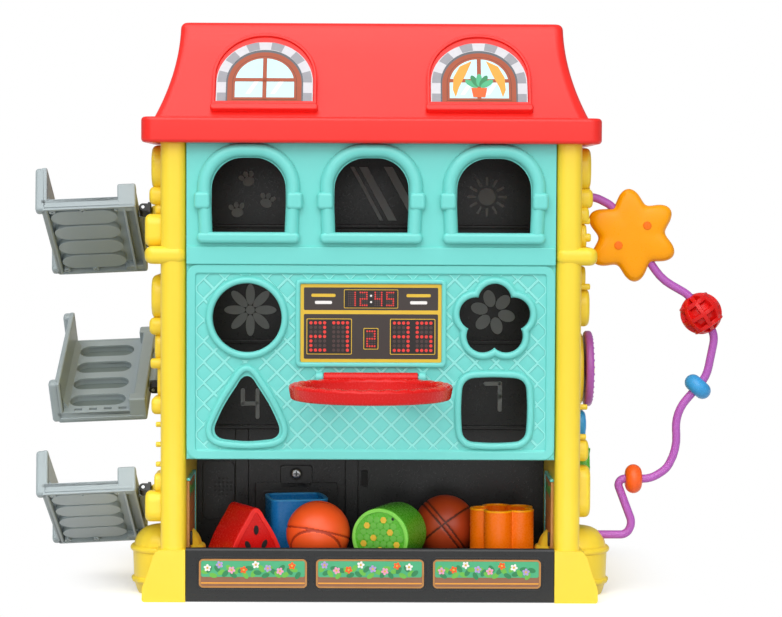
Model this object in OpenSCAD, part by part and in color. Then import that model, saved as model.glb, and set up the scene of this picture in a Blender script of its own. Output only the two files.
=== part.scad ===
// Activity house: a two-storey toy house with a shape sorter, a ball hoop, ball ramps and a bead wire.
// Sizes in millimetres. X to the right, Y to the back, Z up. The table is at Z = 0.

/* [House] */
// Width over the two side walls
house_w = 296; // [293:1:300]
// Depth over the front and rear posts
house_d = 230; // [228:1:236]
// Height of the upper storey, from the foot of the belt to the eaves
upper_h = 85; // [84:1:89]
// Wall thickness of the mouldings
wall = 3; // [2.6:0.1:3.2]
// Width of a corner post
post_w = 18; // [17.5:0.5:18.5]
// Corner rounding of a post
post_r = 7; // [6:0.5:8]
// Height of the flared feet
foot_h = 37; // [35:1:38]
// How far a foot flares past its post
foot_flare = 12.5; // [9:0.5:13]
// Height of the belt under the upper storey
belt_z = 238; // [237:0.5:238.5]
// Height of the belt band
belt_h = 12.6; // [11.6:0.2:13]
// How far the belt stands out from a side wall
belt_out = 9.5; // [7:0.5:9.5]

/* [Base and bay] */
// Height of the bay floor
floor_z = 21; // [20:0.5:22]
// Height of the front lip
lip_z = 38.5; // [36:0.5:38.5]
// Thickness of the front lip
lip_t = 5; // [4:0.5:5]
// Height of the lower edge of the front panel
bay_top_z = 100.8; // [100.8:0.4:104]
// Distance of the core wall behind the front posts
core_back = 110; // [110:1:112]

/* [Roof] */
// Height of the straight roof edge
fascia_h = 18; // [17:1:22]
// How far the eaves stand out at the sides
eaves_out = 13; // [11:0.5:13]
// How far the eaves stand out at the front and the rear
eaves_front = 8; // [6:0.5:10]
// Height of the curved roof above the straight edge
roof_h = 68; // [64:1:70]

/* [Windows] */
// Width of a window opening
window_w = 52; // [50:1:53]
// Height of a window opening
window_h = 52; // [50:1:53]
// Width of the raised window frame
window_frame = 10; // [9:0.5:10]
// Plain strip between an outer window frame and its post
window_edge = 8; // [8:0.5:10]

/* [Sorter] */
// Diameter of the round hole
round_hole = 48.5; // [47.5:0.5:49]
// Width of the square hole
square_hole = 45; // [44:0.5:45]
// Width of the triangle hole
triangle_hole = 47.2; // [46.4:0.4:47.6]
// Width of the flower hole
flower_hole = 49.8; // [49:0.2:50]
// Width of the raised rim around a hole
rim_w = 4; // [3:0.5:4]
// Clearance around a block in its hole
sorter_gap = 1.4; // [1.4:0.1:1.8]

/* [Hoop] */
// Outer diameter of the hoop ring
hoop_d = 111.6; // [106:0.4:114]
// Width of the hoop ring
hoop_bar = 8.8; // [7:0.2:9]
// Height of the hoop ring
hoop_h = 10.6; // [9.4:0.2:10.6]

/* [Ramps] */
// Length of a ramp along its slope
ramp_l = 107; // [103:1:107]
// Width of a ramp without its end posts
ramp_w = 66; // [62:1:67]
// Slope of the ramps in degrees
ramp_slope = 27; // [26:0.5:28]
// Droop of the outer edge in degrees
ramp_droop = 3; // [1:0.5:3]

/* [Bead wire] */
// Diameter of the wire
wire_d = 6; // [5:0.2:6]
// Tip radius of the star
star_r = 33.5; // [31:0.5:33.5]
// Thickness of the star
star_t = 17; // [15:0.5:18]
// Diameter of the lattice bead
lattice_bead_d = 30; // [28:0.5:30]
// Diameter of a ring bead
ring_bead_d = 21; // [19:0.5:21]
// Clearance around the wire in a bead
bead_gap = 0.45; // [0.4:0.05:0.6]

/* [Blocks and balls] */
// Diameter of a ball
ball_d = 46; // [45:0.2:46]
// Height of a block
block_h = 40; // [38:0.5:40]
// Wall thickness of a block
block_wall = 2.2; // [1.8:0.1:2.4]

/* [Fits] */
// Running clearance between moving pieces
gap = 0.4; // [0.3:0.05:0.5]
// Radial clearance of a pin in its bore
pin_fit = 0.05; // [0.03:0.01:0.08]

/* [Hidden] */
$fn = 64;
half_w = house_w / 2;
inner_x = half_w - post_w;
front_y = -house_d / 2;
rear_y = house_d / 2;
eaves_z = belt_z + upper_h;
// The front panels lie a little behind the noses of the posts.
panel_in = 3;
panel_y = front_y + panel_in;
field_sink = 1.2;
field_y = panel_y + field_sink;
core_y = front_y + core_back;
tray_nose = 0.5;
tray_front = front_y - tray_nose;
tray_t = 3;
plate_h = 3;
boss_r = 4;
boss_in = [30, 35];
foot_depth = 28;
foot_nose = 1.5;
foot_lean = 4.8;
foot_bevel = [3, 4];
belt_nose = 1;
belt_r = 6;
clasp_l = 30;
clasp_h = 13;
clasp_out = 8;
clasp_high = [50, 280];
clasp_low = [180, 184];

// Labels in the recesses of the front lip.
planter_edge = 12.8;
planter_space = 5.8;
planter_pitch = (2 * inner_x - planter_edge) / 3;
planter_w = planter_pitch - planter_space;
planter_h = 21;
planter_r = 4;
planter_z = 20.5;
planter_sink = 0.6;
planter_fit = 0.3;

// Reliefs of the core wall.
rib_in = [29, 111];
rib_w = 10;
rib_top = 112;
ledge_z = [112, 176, 262];
ledge_h = 3;
relief_out = 2;

// Windows and the upper panel.
sill_up = 2.4;
sill_z = belt_z + belt_h + sill_up;
sill_h = 7.7;
sill_r = 3;
sill_more = 1;
panel_belt_out = 2;
window_z = sill_z + sill_h;
window_r = 22;
window_pitch = inner_x - window_w / 2 - window_frame - window_edge;
frame_out = 5;
clamp_w = 2.5;
clamp_h = 12;
clamp_up = 16;
clamp_r = 2;
upper_top = eaves_z;

// The lower panel, its field and its holes.
border = 7;
field_more = 1;
field_r = 4;
hole_x = 87;
round_z = 200.5;
flower_z = 199.5;
triangle_z = 115;
square_z = 136;
triangle_tall = 43;
triangle_r = 7;
corner_more = 0.03;
square_r = 7;
petals = 5;
petal_ring = 0.28;
rim_out = 2.4;
board_w = 105;
board_h = 61;
board_z = 197;
board_rim = 3;
board_pad = 1;
board_out = 2.2;
label_t = 0.4;
label_lift = 0.05;
slot_w = 67;
slot_h = 2.4;

// The hoop hangs from a pin in front of the panel.
hoop_pin_d = 4;
hoop_knuckle = 3.6;
hoop_front = 3.5;
hoop_y = panel_y - hoop_front;
hoop_under = 7.5;
hoop_z = board_z - board_h / 2 - hoop_under;
hoop_drop = 5.7;
hoop_round = 2.6;
collar_reach = 10;
collar_w = 66;
collar_t = 3.4;
ear_t = 5;
hoop_ring_y = hoop_y + hoop_knuckle - hoop_d / 2;

// Roof outline and the two attic plates.
roof_z = eaves_z + fascia_h;
roof_low_out = [4, 2];
roof_top_in = [12, 33];
roof_top_x = half_w - roof_top_in[0];
roof_low_x = half_w + roof_low_out[0];
roof_low_y = house_d / 2 + roof_low_out[1];
roof_top_y = house_d / 2 - roof_top_in[1];
roof_bend_x = 2;
roof_bend_y = 1.4;
roof_steps = 12;
fascia_r = 9;
attic_x = 75.2;
attic_w = 70.4;
attic_up = [7.5, 56.5];
attic_low = roof_z + attic_up[0];
attic_high = roof_z + attic_up[1];
attic_out = 2.5;
attic_in = 2.5;
attic_ledge = 5;
attic_ledge_out = 2;
attic_r_less = 1;
attic_margin = 1.4;
attic_crown = 4;

// Ramps: axis points of the three hinges, and which end is high (1 = the rear end).
hinge_out = 15.5;
hinge_back = [67.5, 148, 67.5];
hinge_x = half_w + hinge_out;
hinge_y = [for (b = hinge_back) front_y + b];
hinge_z = [264, 153.6, 62.7];
hinge_dir = [-1, 1, -1];
hinge_pin_d = 2.4;
knuckle = 3;
lug_l = 40;
bar_lug = 10;
bar_x = knuckle + gap;
bar_t = 2.2;
bar_h = 8;
bracket_l = 48;
bracket_h = 10;
ramp_face = 3.6;
ramp_floor = -3;
ramp_low = -11;
floor_t = 2.5;
skirt_t = 2;
inner_box_w = 9.3;
inner_box_top = 7;
outer_wall_t = 4;
outer_wall_top = 23;
end_post_l = 8;
end_post_out = 4.5;
groove_w = 16;
groove_l = 42;
groove_n = 4;
groove_pitch = 24;
groove_deep = 4;
pad_more = 2.5;
pad_into = 0.5;
drain_n = 4;
drain_w = 6;
drain_l = 3;
drain_pitch = 11;

// Bead wire: corner points as distance from the side wall, height, and bend radius.
wire_back = 48;
wire_y = front_y + wire_back;
wire_path = [
    [1, 286.2, 0], [13, 286.2, 20], [24.5, 280.4, 14], [61.5, 227, 36], [80.9, 216.1, 20],
    [100.5, 187.5, 16], [94.5, 157, 26], [72, 131, 30], [73.8, 104, 38], [66, 90, 16],
    [55, 82.8, 20], [29.5, 82.8, 4.5], [41.8, 50.5, 10], [37.5, 42.2, 7], [6, 42.2, 0]
];
wire_last = len(wire_path) - 1;
// The straight runs reach a little into the bends, which are a hair thinner.
run_over = 0.5;
bend_less = 0.12;
socket_r = 8;
socket_out = 9;
star_seg = 2;
star_at = 0.404;
lobe_r = 9.5;
lobe_n = 6;
star_turn = 30;
star_core = 0.66;
lobe_base = 0.45;
star_pin_d = 6;
star_pin_side = 12.5;
star_pin_head = 0.8;
lattice_seg = 4;
lattice_at = 0.467;
lattice_band = 3.6;
lattice_core = 0.78;
blue_seg = 6;
blue_at = 0.28;
orange_seg = 10;
orange_at = 0.5;
bead_tube = 6;

// Planter barrels at the feet of the side walls.
barrel_r = 25;
barrel_in = 2;
barrel_x = half_w - barrel_in;
barrel_side = 32.5;
barrel_dome = 16;
barrel_rings = [10, 32];
barrel_ring_r = 2;
barrel_ring_in = 1;

// Spinner and plates on the right side.
spinner_back = 65;
spinner_y = front_y + spinner_back;
spinner_z = 161.4;
spinner_d = 55;
spinner_out = 7;
spinner_x = half_w + spinner_out;
spinner_t = 5.6;
axle_d = 6;
hub_d = 12;
axle_cap = 1.6;
leaf_z = 53;
leaf_h = 56;
leaf_w = 46;
leaf_t = 9;
leaf_r = 18;
blue_plate_z = 111;
blue_plate_h = 20;
blue_plate_w = 30;
blue_plate_t = 8;
blue_plate_r = 8;

// Liners on the bay walls.
liner_t = 2.2;
liner_front = 14;
liner_l = 54;
liner_top = 84;
trim_t = 2.6;
trim_w = 2;

// Loose pieces on the bay floor: place to the side, place behind the front and turn of each one.
// They move with the bay's walls; bay_half is the half width that the places are given for.
bay_half = 130;
bay_more = inner_x - bay_half;
triangle_side = -90.6;
triangle_back = 45;
triangle_follow = 0.58;
triangle_at = [triangle_side - triangle_follow * bay_more, front_y + triangle_back];
triangle_turn = 27;
square_side = -54.5;
square_back = 83;
square_at = [square_side, front_y + square_back];
square_turn = 10;
square_tall = 44;
round_side = 14;
round_back = 42;
round_at = [round_side, front_y + round_back];
round_turn = -20;
flower_side = 96.5;
flower_back = 52;
flower_at = [flower_side + bay_more, front_y + flower_back];
flower_turn = 18;
orange_ball_side = -37.4;
orange_ball_back = 39;
orange_ball_at = [orange_ball_side, front_y + orange_ball_back];
brown_ball_side = 55;
brown_ball_back = 75.5;
brown_ball_follow = 0.61;
brown_ball_at = [brown_ball_side + brown_ball_follow * bay_more,
    front_y + brown_ball_back - brown_ball_follow * bay_more];

// Electrics behind the core wall.
door_in = 74.6;
door_x = door_in - inner_x;
door_h = 48;
door_up = 3;
door_z = floor_z + door_up;
door_r = 2;
door_lap = 2;
door_plug = 6;
door_plug_in = 1.2;
door_tab_w = 24;
door_tab_h = 13;
door_out = 1.5;
door_seat = 0.5;
cell_d = 14.5;
cell_l = 50.5;
cell_n = 3;
box_t = 1.8;
contact_l = 3.7;
contact_t = 0.5;
contact_w = 10;
contact_d = 5;
door_w = cell_l + 2 * (box_t + contact_l);
box_deep = 18;
speaker_in = 20;
speaker_x = speaker_in - inner_x;
speaker_z = 69;
speaker_d = 28;
speaker_t = 9;
speaker_flange = 5;
speaker_cone = 0.6;
grille_d = 1.6;
grille_pitch = 3;
grille_n = 2;
grille_reach = 2.4;
board_x = 62;
board_low = 45;
board_size = [80, 56, 1.6];
board_gap = 6;
board_post_d = 5;
board_post_at = [0.42, 0.35];
chip_size = [22, 2.4, 18];
screw_d = 7;
screw_t = 2;
screw_z = [60, 150, 225, 300];
screw_in = 12;
screw_seat = 1;
battery_screw_t = 1.6;
slider_w = 12;
slider_travel = 8;
slider_in = 48;
slider_x = slider_in - inner_x;
slider_z = 62;
slider_t = 2;
slider_r = 1.6;
slider_reach = 3;
slider_slot_r = 2;

// A box given by its two ends along each axis.
module slab(x, y, z) {
    translate([x[0], y[0], z[0]])
        cube([x[1] - x[0], y[1] - y[0], z[1] - z[0]]);
}

// A drawing in X and Z given depth from y towards the back.
module upright(y, depth) {
    translate([0, y + depth, 0])
        rotate([90, 0, 0])
            linear_extrude(depth)
                children();
}

// A bar along X.
module x_rod(x, y, z, d) {
    translate([x[0], y, z])
        rotate([0, 90, 0])
            cylinder(h = x[1] - x[0], d = d);
}

module round_rect(w, h, r) {
    square([w - 2 * r, h], center = true);
    square([w, h - 2 * r], center = true);
    for (sx = [-1, 1], sy = [-1, 1])
        translate([sx * (w / 2 - r), sy * (h / 2 - r)])
            circle(r);
}

// A flat-bottomed arch with two round top corners.
module arch(w, h, r) {
    intersection() {
        union() {
            translate([-w / 2, 0])
                square([w, h - r]);
            translate([r - w / 2, 0])
                square([w - 2 * r, h]);
            for (s = [-1, 1])
                translate([s * (w / 2 - r), h - r])
                    circle(r);
        }
        translate([-w, 0])
            square([2 * w, 2 * h]);
    }
}

// A convex outline through the given corners, run counter-clockwise, grown by a round border.
// The corner rounds stand a hair proud, so that they cross the straight sides.
module rounded_outline(corners, r) {
    n = len(corners);
    polygon([for (i = [0 : n - 1]) let (
        a = corners[i],
        b = corners[(i + 1) % n],
        side = (b - a) / norm(b - a),
        out = [side[1], -side[0]] * r
    ) each [a + out, b + out]]);
    for (p = corners)
        translate(p)
            circle(r + corner_more);
}

module stadium(l, w) {
    square([l - w, w], center = true);
    for (s = [-1, 1])
        translate([s * (l - w) / 2, 0])
            circle(d = w);
}

// Outlines of the four sorter shapes; grow is positive for rims and negative for blocks.
module round_shape(grow) {
    circle(round_hole / 2 + grow);
}

module triangle_shape(grow) {
    w = triangle_hole / 2 - triangle_r;
    rounded_outline([[-w, triangle_r], [w, triangle_r], [0, triangle_tall - triangle_r]], triangle_r + grow);
}

module square_shape(grow) {
    round_rect(square_hole + 2 * grow, square_hole + 2 * grow, square_r + grow);
}

module flower_shape(grow) {
    ring = flower_hole * petal_ring;
    petal = flower_hole / 2 - ring * cos(90 / petals);
    circle(ring);
    for (i = [0 : petals - 1])
        rotate(90 + i * 360 / petals)
            translate([ring, 0])
                circle(petal + grow);
}

module sorter_shapes(grow) {
    translate([-hole_x, round_z])
        round_shape(grow);
    translate([-hole_x, triangle_z])
        triangle_shape(grow);
    translate([hole_x, flower_z])
        flower_shape(grow);
    translate([hole_x, square_z])
        square_shape(grow);
}

// Base.
module base_plate() {
    color("#262626")
        slab([gap + tray_t - inner_x, inner_x - tray_t - gap],
            [tray_front + lip_t + gap, -tray_front - lip_t - gap], [0, plate_h]);
}

module planter_places() {
    for (i = [-1 : 1])
        translate([i * planter_pitch, planter_z])
            children();
}

module base_tray() {
    color("#2b2b2b") {
        slab([-inner_x, inner_x], [tray_front + lip_t / 2, -tray_front - lip_t / 2],
            [floor_z - tray_t, floor_z]);
        difference() {
            for (s = [0, 1])
                mirror([0, s, 0]) {
                    slab([-inner_x, inner_x], [tray_front, tray_front + lip_t], [0, lip_z - lip_t / 2]);
                    x_rod([-inner_x, inner_x], tray_front + lip_t / 2, lip_z - lip_t / 2, lip_t);
                }
            upright(tray_front - lip_t, lip_t + planter_sink)
                planter_places()
                    round_rect(planter_w, planter_h, planter_r);
        }
        for (s = [-1, 1])
            slab([s * (inner_x - tray_t / 2) - tray_t / 2, s * (inner_x - tray_t / 2) + tray_t / 2],
                [tray_front + lip_t, -tray_front - lip_t], [0, floor_z]);
        for (sx = [-1, 1], sy = [-1 : 1])
            translate([sx * (inner_x - boss_in[0]), sy * (rear_y - boss_in[1]), plate_h])
                cylinder(h = floor_z - tray_t - plate_h, r = boss_r);
    }
}

module planter_labels() {
    color("#c08443")
        upright(tray_front + planter_sink - label_t, label_t)
            planter_places()
                round_rect(planter_w - 2 * planter_fit, planter_h - 2 * planter_fit, planter_r - planter_fit);
}

// Core wall with the battery opening, the speaker holes, ribs and ledges.
module door_outline() {
    translate([door_x, door_z + door_h / 2])
        round_rect(door_w, door_h, door_r);
    translate([door_x, door_z + door_h + door_tab_h / 2 - door_r])
        round_rect(door_tab_w, door_tab_h + 2 * door_r, door_r);
}

module core_wall() {
    color("#2b2b2b") {
        upright(core_y, wall)
            difference() {
                translate([-inner_x, floor_z])
                    square([2 * inner_x, eaves_z - floor_z]);
                translate([door_x, door_z + door_h / 2])
                    square([door_w - 2 * door_lap, door_h - 2 * door_lap], center = true);
                for (i = [-grille_n : grille_n], j = [-grille_n : grille_n])
                    if (norm([i, j]) < grille_reach)
                        translate([speaker_x + i * grille_pitch, speaker_z + j * grille_pitch])
                            circle(d = grille_d);
            }
        for (x = rib_in)
            slab([x - inner_x, x - inner_x + rib_w], [core_y - relief_out, core_y], [floor_z, rib_top]);
        for (z = ledge_z)
            slab([-inner_x, inner_x], [core_y - relief_out, core_y], [z, z + ledge_h]);
    }
}

// Side walls: hollow posts, belt, feet and planter barrel; x is positive for both and mirrored for the left.
module side_shell() {
    difference() {
        linear_extrude(eaves_z)
            translate([inner_x + post_w / 2, 0])
                round_rect(post_w, house_d, post_r);
        translate([0, 0, wall])
            linear_extrude(eaves_z)
                translate([inner_x + post_w / 2, 0])
                    round_rect(post_w - 2 * wall, house_d - 2 * wall, post_r - wall);
    }
    difference() {
        translate([0, 0, belt_z])
            linear_extrude(belt_h)
                translate([inner_x + (post_w + belt_out) / 2, 0])
                    round_rect(post_w + belt_out, house_d + 2 * belt_nose, belt_r);
        slab([inner_x - 1, half_w - wall / 2], [front_y + wall / 2, rear_y - wall / 2],
            [belt_z - 1, belt_z + belt_h + 1]);
    }
    for (s = [0, 1])
        mirror([0, s, 0])
            difference() {
                upright(front_y - foot_nose, foot_depth)
                    polygon([[inner_x, 0], [half_w + foot_flare, 0],
                        [half_w + foot_lean, foot_h - foot_bevel[1]],
                        [half_w + foot_lean - foot_bevel[0], foot_h], [inner_x, foot_h]]);
                slab([inner_x + wall, half_w - wall], [front_y + wall, 0], [wall, foot_h + 1]);
            }
    difference() {
        translate([barrel_x, wire_y, 0])
            rotate_extrude()
                intersection() {
                    union() {
                        square([barrel_r, barrel_side]);
                        translate([barrel_r - barrel_dome, barrel_side])
                            circle(barrel_dome);
                        square([barrel_r - barrel_dome, barrel_side + barrel_dome]);
                        for (z = barrel_rings)
                            translate([barrel_r - barrel_ring_in, z])
                                circle(barrel_ring_r);
                    }
                    square([2 * barrel_r, 2 * barrel_r]);
                }
        slab([0, half_w - wall / 2], [front_y, 0], [-1, 2 * barrel_r + 1]);
    }
}

module clasp(at) {
    y = front_y + at[0];
    slab([half_w - wall / 2, half_w + clasp_out], [y - clasp_l / 2, y + clasp_l / 2],
        [at[1], at[1] + clasp_h]);
}

module left_side_wall() {
    color("#ffe04a") {
        mirror([1, 0, 0]) {
            side_shell();
            clasp(clasp_high);
            clasp(clasp_low);
        }
        for (i = [0 : 2])
            ramp_frame(i)
                slab([bar_x + bar_t, hinge_x - half_w + wall / 2], [-bracket_l / 2, bracket_l / 2],
                    [-bracket_h / 2, bracket_h / 2]);
    }
}

module right_side_wall() {
    color("#ffe04a")
        difference() {
            union() {
                side_shell();
                x_rod([half_w - wall / 2, half_w + socket_out], wire_y, wire_path[0][1], 2 * socket_r);
                clasp(clasp_low);
            }
            x_rod([half_w + wire_path[0][0] - run_over, half_w + 2 * socket_out], wire_y,
                wire_path[0][1], wire_d);
            x_rod([half_w + wire_path[wire_last][0] - run_over, half_w + 2 * barrel_r], wire_y,
                wire_path[wire_last][1], wire_d);
            x_rod([half_w - 2 * wall, half_w + 1], spinner_y, spinner_z, axle_d);
        }
}

// Front and rear panels.
module window_places() {
    for (i = [-1 : 1])
        translate([i * window_pitch, window_z])
            children();
}

module upper_front_panel() {
    color("#7de8dc") {
        upright(panel_y, wall)
            difference() {
                translate([-inner_x, belt_z])
                    square([2 * inner_x, upper_top - belt_z]);
                window_places()
                    arch(window_w, window_h, window_r);
            }
        upright(panel_y - frame_out, frame_out)
            window_places()
                difference() {
                    arch(window_w + 2 * window_frame, window_h + window_frame, window_r + window_frame);
                    arch(window_w, window_h, window_r);
                }
        upright(panel_y - frame_out - sill_more, frame_out + sill_more)
            window_places() {
                translate([0, -sill_h / 2])
                    round_rect(window_w + 2 * window_frame, sill_h, sill_r);
                for (s = [-1, 1])
                    translate([s * ((window_w + window_frame) / 2 + clamp_w), clamp_up + clamp_h / 2])
                        round_rect(window_frame + clamp_w, clamp_h, clamp_r);
            }
        upright(panel_y - panel_belt_out, panel_belt_out)
            translate([-inner_x, belt_z])
                square([2 * inner_x, belt_h]);
    }
}

module lower_front_panel() {
    mid_z = (bay_top_z + belt_z) / 2;
    tall = belt_z - bay_top_z;
    color("#7de8dc")
        difference() {
            union() {
                upright(field_y, wall)
                    translate([0, mid_z])
                        square([2 * inner_x, tall], center = true);
                upright(panel_y, field_sink)
                    translate([0, mid_z])
                        difference() {
                            square([2 * inner_x, tall], center = true);
                            round_rect(2 * (inner_x - border), tall - 2 * (border - field_more), field_r);
                        }
                upright(field_y - rim_out, rim_out)
                    sorter_shapes(rim_w);
                upright(field_y - board_pad, board_pad)
                    translate([0, board_z])
                        round_rect(board_w, board_h, board_rim);
                upright(field_y - board_out, board_out)
                    translate([0, board_z])
                        difference() {
                            round_rect(board_w, board_h, board_rim);
                            square([board_w - 2 * board_rim, board_h - 2 * board_rim], center = true);
                        }
                for (s = [-1, 1])
                    translate([s * (collar_w + ear_t + 2 * gap) / 2, 0, 0]) {
                        x_rod([-ear_t / 2, ear_t / 2], hoop_y, hoop_z, 2 * hoop_knuckle);
                        slab([-ear_t / 2, ear_t / 2], [hoop_y, field_y],
                            [hoop_z - hoop_knuckle, hoop_z + hoop_knuckle]);
                    }
            }
            upright(field_y - 2 * rim_out, 2 * rim_out + 2 * wall)
                sorter_shapes(0);
            upright(field_y - rim_out, wall + 2 * rim_out)
                translate([0, hoop_z + hoop_knuckle + slot_h / 2])
                    square([slot_w, slot_h], center = true);
            x_rod([-house_w / 2, house_w / 2], hoop_y, hoop_z, hoop_pin_d + 2 * pin_fit);
        }
}

module score_label() {
    color("#4a4340")
        upright(field_y - board_pad - label_t, label_t)
            translate([0, board_z])
                square([board_w - 2 * board_rim, board_h - 2 * board_rim], center = true);
}

module rear_panel() {
    color("#7de8dc")
        difference() {
            union() {
                upright(-panel_y - wall, wall)
                    translate([-inner_x, lip_z])
                        square([2 * inner_x, eaves_z - lip_z]);
                upright(-panel_y, panel_belt_out)
                    translate([-inner_x, belt_z])
                        square([2 * inner_x, belt_h]);
            }
            upright(-panel_y - 2 * wall, 4 * wall)
                translate([slider_x, slider_z])
                    round_rect(slider_w + slider_travel + 2 * gap, slider_w / 2 + 2 * gap, slider_slot_r);
        }
}

module power_slider() {
    color("#2b2b2b") {
        translate([slider_x - slider_travel / 2, 0, slider_z]) {
            upright(-panel_y - wall - gap - slider_t, slider_t)
                square([slider_w + slider_travel, 2 * slider_w], center = true);
            upright(-panel_y - wall - 2 * gap, wall + slider_reach)
                round_rect(slider_w, slider_w / 2, slider_r);
        }
    }
}

module case_screws() {
    color("#9a9fa3")
        for (sx = [-1, 1], z = screw_z)
            translate([sx * (inner_x - screw_in), -panel_y, z])
                rotate([-90, 0, 0])
                    cylinder(h = screw_t, d = screw_d);
}

// Roof.
function roof_half(low, high, bend, t) = high + (low - high) * pow(1 - t, bend);
function roof_depth(z) = roof_half(roof_low_y, roof_top_y, roof_bend_y, (z - roof_z) / roof_h);

module roof_profile(low, high, bend, inset) {
    side = [for (i = [0 : roof_steps]) let (t = i / roof_steps)
        [roof_half(low, high, bend, t) - inset, roof_z + t * (roof_h - inset)]];
    polygon(concat(
        [[low - inset, roof_z - 2 * inset]],
        side,
        [for (i = [roof_steps : -1 : 0]) [-side[i][0], side[i][1]]],
        [[inset - low, roof_z - 2 * inset]]
    ));
}

module roof_bulk(inset) {
    intersection() {
        upright(-house_d, 2 * house_d)
            roof_profile(roof_low_x, roof_top_x, roof_bend_x, inset);
        translate([-house_w, 0, 0])
            rotate([90, 0, 90])
                linear_extrude(2 * house_w)
                    roof_profile(roof_low_y, roof_top_y, roof_bend_y, inset);
    }
}

// The attic plates lean back with the roof front.
attic_tilt = atan((roof_depth(attic_low) - roof_depth(attic_high)) / (attic_high - attic_low));
attic_l = (attic_high - attic_low) / cos(attic_tilt);

module attic_frame(s) {
    y = (roof_depth(attic_low) + roof_depth(attic_high)) / 2;
    translate([s * attic_x, -y, (attic_low + attic_high) / 2])
        rotate([-attic_tilt, 0, 0])
            children();
}

module roof() {
    eave = [2 * (half_w + eaves_out), house_d + 2 * eaves_front];
    color("#e8161a")
        difference() {
            union() {
                translate([0, 0, eaves_z])
                    linear_extrude(fascia_h)
                        round_rect(eave[0], eave[1], fascia_r);
                roof_bulk(0);
                for (s = [-1, 1])
                    attic_frame(s) {
                        upright(-attic_out, attic_out + attic_in)
                            translate([0, -attic_l / 2])
                                arch(attic_w, attic_l, attic_w / 2 - attic_r_less);
                        slab([-attic_w / 2 - attic_ledge_out, attic_w / 2 + attic_ledge_out],
                            [-attic_out - attic_ledge_out, attic_in],
                            [-attic_l / 2 - attic_ledge, -attic_l / 2]);
                    }
            }
            roof_bulk(wall);
            translate([0, 0, eaves_z + wall])
                linear_extrude(fascia_h - 2 * wall)
                    round_rect(eave[0] - 2 * wall, eave[1] - 2 * wall, fascia_r - wall);
            slab([-inner_x, inner_x], [panel_y + wall, -panel_y - wall], [eaves_z - 1, roof_z]);
        }
}

module attic_label(s) {
    color("#d9d7db")
        attic_frame(s)
            upright(-attic_out - label_t - label_lift, label_t)
                translate([0, attic_margin - attic_l / 2])
                    arch(attic_w - 2 * attic_margin, attic_l - attic_margin - attic_crown,
                        attic_w / 2 - attic_margin - attic_r_less);
}

// Liners on the bay walls.
module bay_liner() {
    front = front_y + liner_front;
    slab([inner_x - liner_t, inner_x], [front, front + liner_l], [floor_z, liner_top]);
}

module liner_trim() {
    back = front_y + liner_front + liner_l;
    slab([inner_x - trim_t, inner_x], [back, back + trim_w], [floor_z, liner_top + trim_w]);
    slab([inner_x - trim_t, inner_x], [front_y + liner_front, back], [liner_top, liner_top + trim_w]);
}

// Plates on the right side wall.
module leaf_plate() {
    color("#5cbf2c")
        translate([half_w, spinner_y, leaf_z + leaf_h / 2])
            rotate([90, 0, 90])
                linear_extrude(leaf_t)
                    round_rect(leaf_w, leaf_h, leaf_r);
}

module blue_plate() {
    color("#2f9bdd")
        translate([half_w, spinner_y, blue_plate_z + blue_plate_h / 2])
            rotate([90, 0, 90])
                linear_extrude(blue_plate_t)
                    round_rect(blue_plate_w, blue_plate_h, blue_plate_r);
}

// Electrics.
module battery_box() {
    y = core_y + wall;
    color("#333333")
        difference() {
            translate([door_x, 0, door_z + door_h / 2])
                slab([-door_w / 2, door_w / 2], [y, y + box_deep], [-door_h / 2, door_h / 2]);
            translate([door_x, 0, door_z + door_h / 2])
                slab([box_t - door_w / 2, door_w / 2 - box_t], [y - box_t, y + box_deep - box_t],
                    [box_t - door_h / 2, door_h / 2 - box_t]);
        }
}

module cell_places() {
    pitch = (door_h - 2 * box_t) / cell_n;
    for (i = [0 : cell_n - 1])
        translate([door_x, core_y + wall + box_deep - box_t - cell_d / 2, door_z + box_t + (i + 0.5) * pitch])
            children();
}

module battery_cells() {
    color("#c8a24a")
        cell_places()
            x_rod([-cell_l / 2, cell_l / 2], 0, 0, cell_d);
}

module battery_contacts() {
    reach = door_w / 2 - box_t;
    color("#c9ccd0")
        cell_places()
            for (s = [0, 1])
                mirror([s, 0, 0]) {
                    slab([reach - contact_t, reach], [-contact_w / 2, contact_w / 2],
                        [-contact_w / 2, contact_w / 2]);
                    x_rod([cell_l / 2, reach], 0, 0, contact_d);
                }
}

module battery_door() {
    color("#232323")
        difference() {
            union() {
                upright(core_y - door_out, door_out)
                    door_outline();
                translate([door_x, 0, door_z + door_h / 2])
                    slab([door_plug - door_w / 2, door_w / 2 - door_plug],
                        [core_y - door_out, core_y + door_plug_in],
                        [door_plug - door_h / 2, door_h / 2 - door_plug]);
            }
            upright(core_y - 2 * door_out, 2 * door_out - door_seat)
                translate([door_x, door_z + door_h + door_tab_h / 2])
                    circle(d = screw_d + screw_seat);
        }
}

module battery_screw() {
    color("#d5d7d9")
        translate([door_x, core_y - door_seat, door_z + door_h + door_tab_h / 2])
            rotate([90, 0, 0])
                cylinder(h = battery_screw_t, d = screw_d);
}

module circuit_board() {
    y = core_y + wall + board_gap;
    color("#1f6b3a") {
        translate([board_x - board_size[0] / 2, y, board_low])
            cube([board_size[0], board_size[2], board_size[1]]);
        for (sx = [-1, 1], sz = [-1, 1])
            translate([board_x + sx * board_size[0] * board_post_at[0], y,
                board_low + board_size[1] * (1 / 2 + sz * board_post_at[1])])
                rotate([90, 0, 0])
                    cylinder(h = board_gap, d = board_post_d);
        translate([board_x - chip_size[0] / 2, y + board_size[2], board_low + chip_size[2]])
            cube(chip_size);
    }
}

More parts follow.
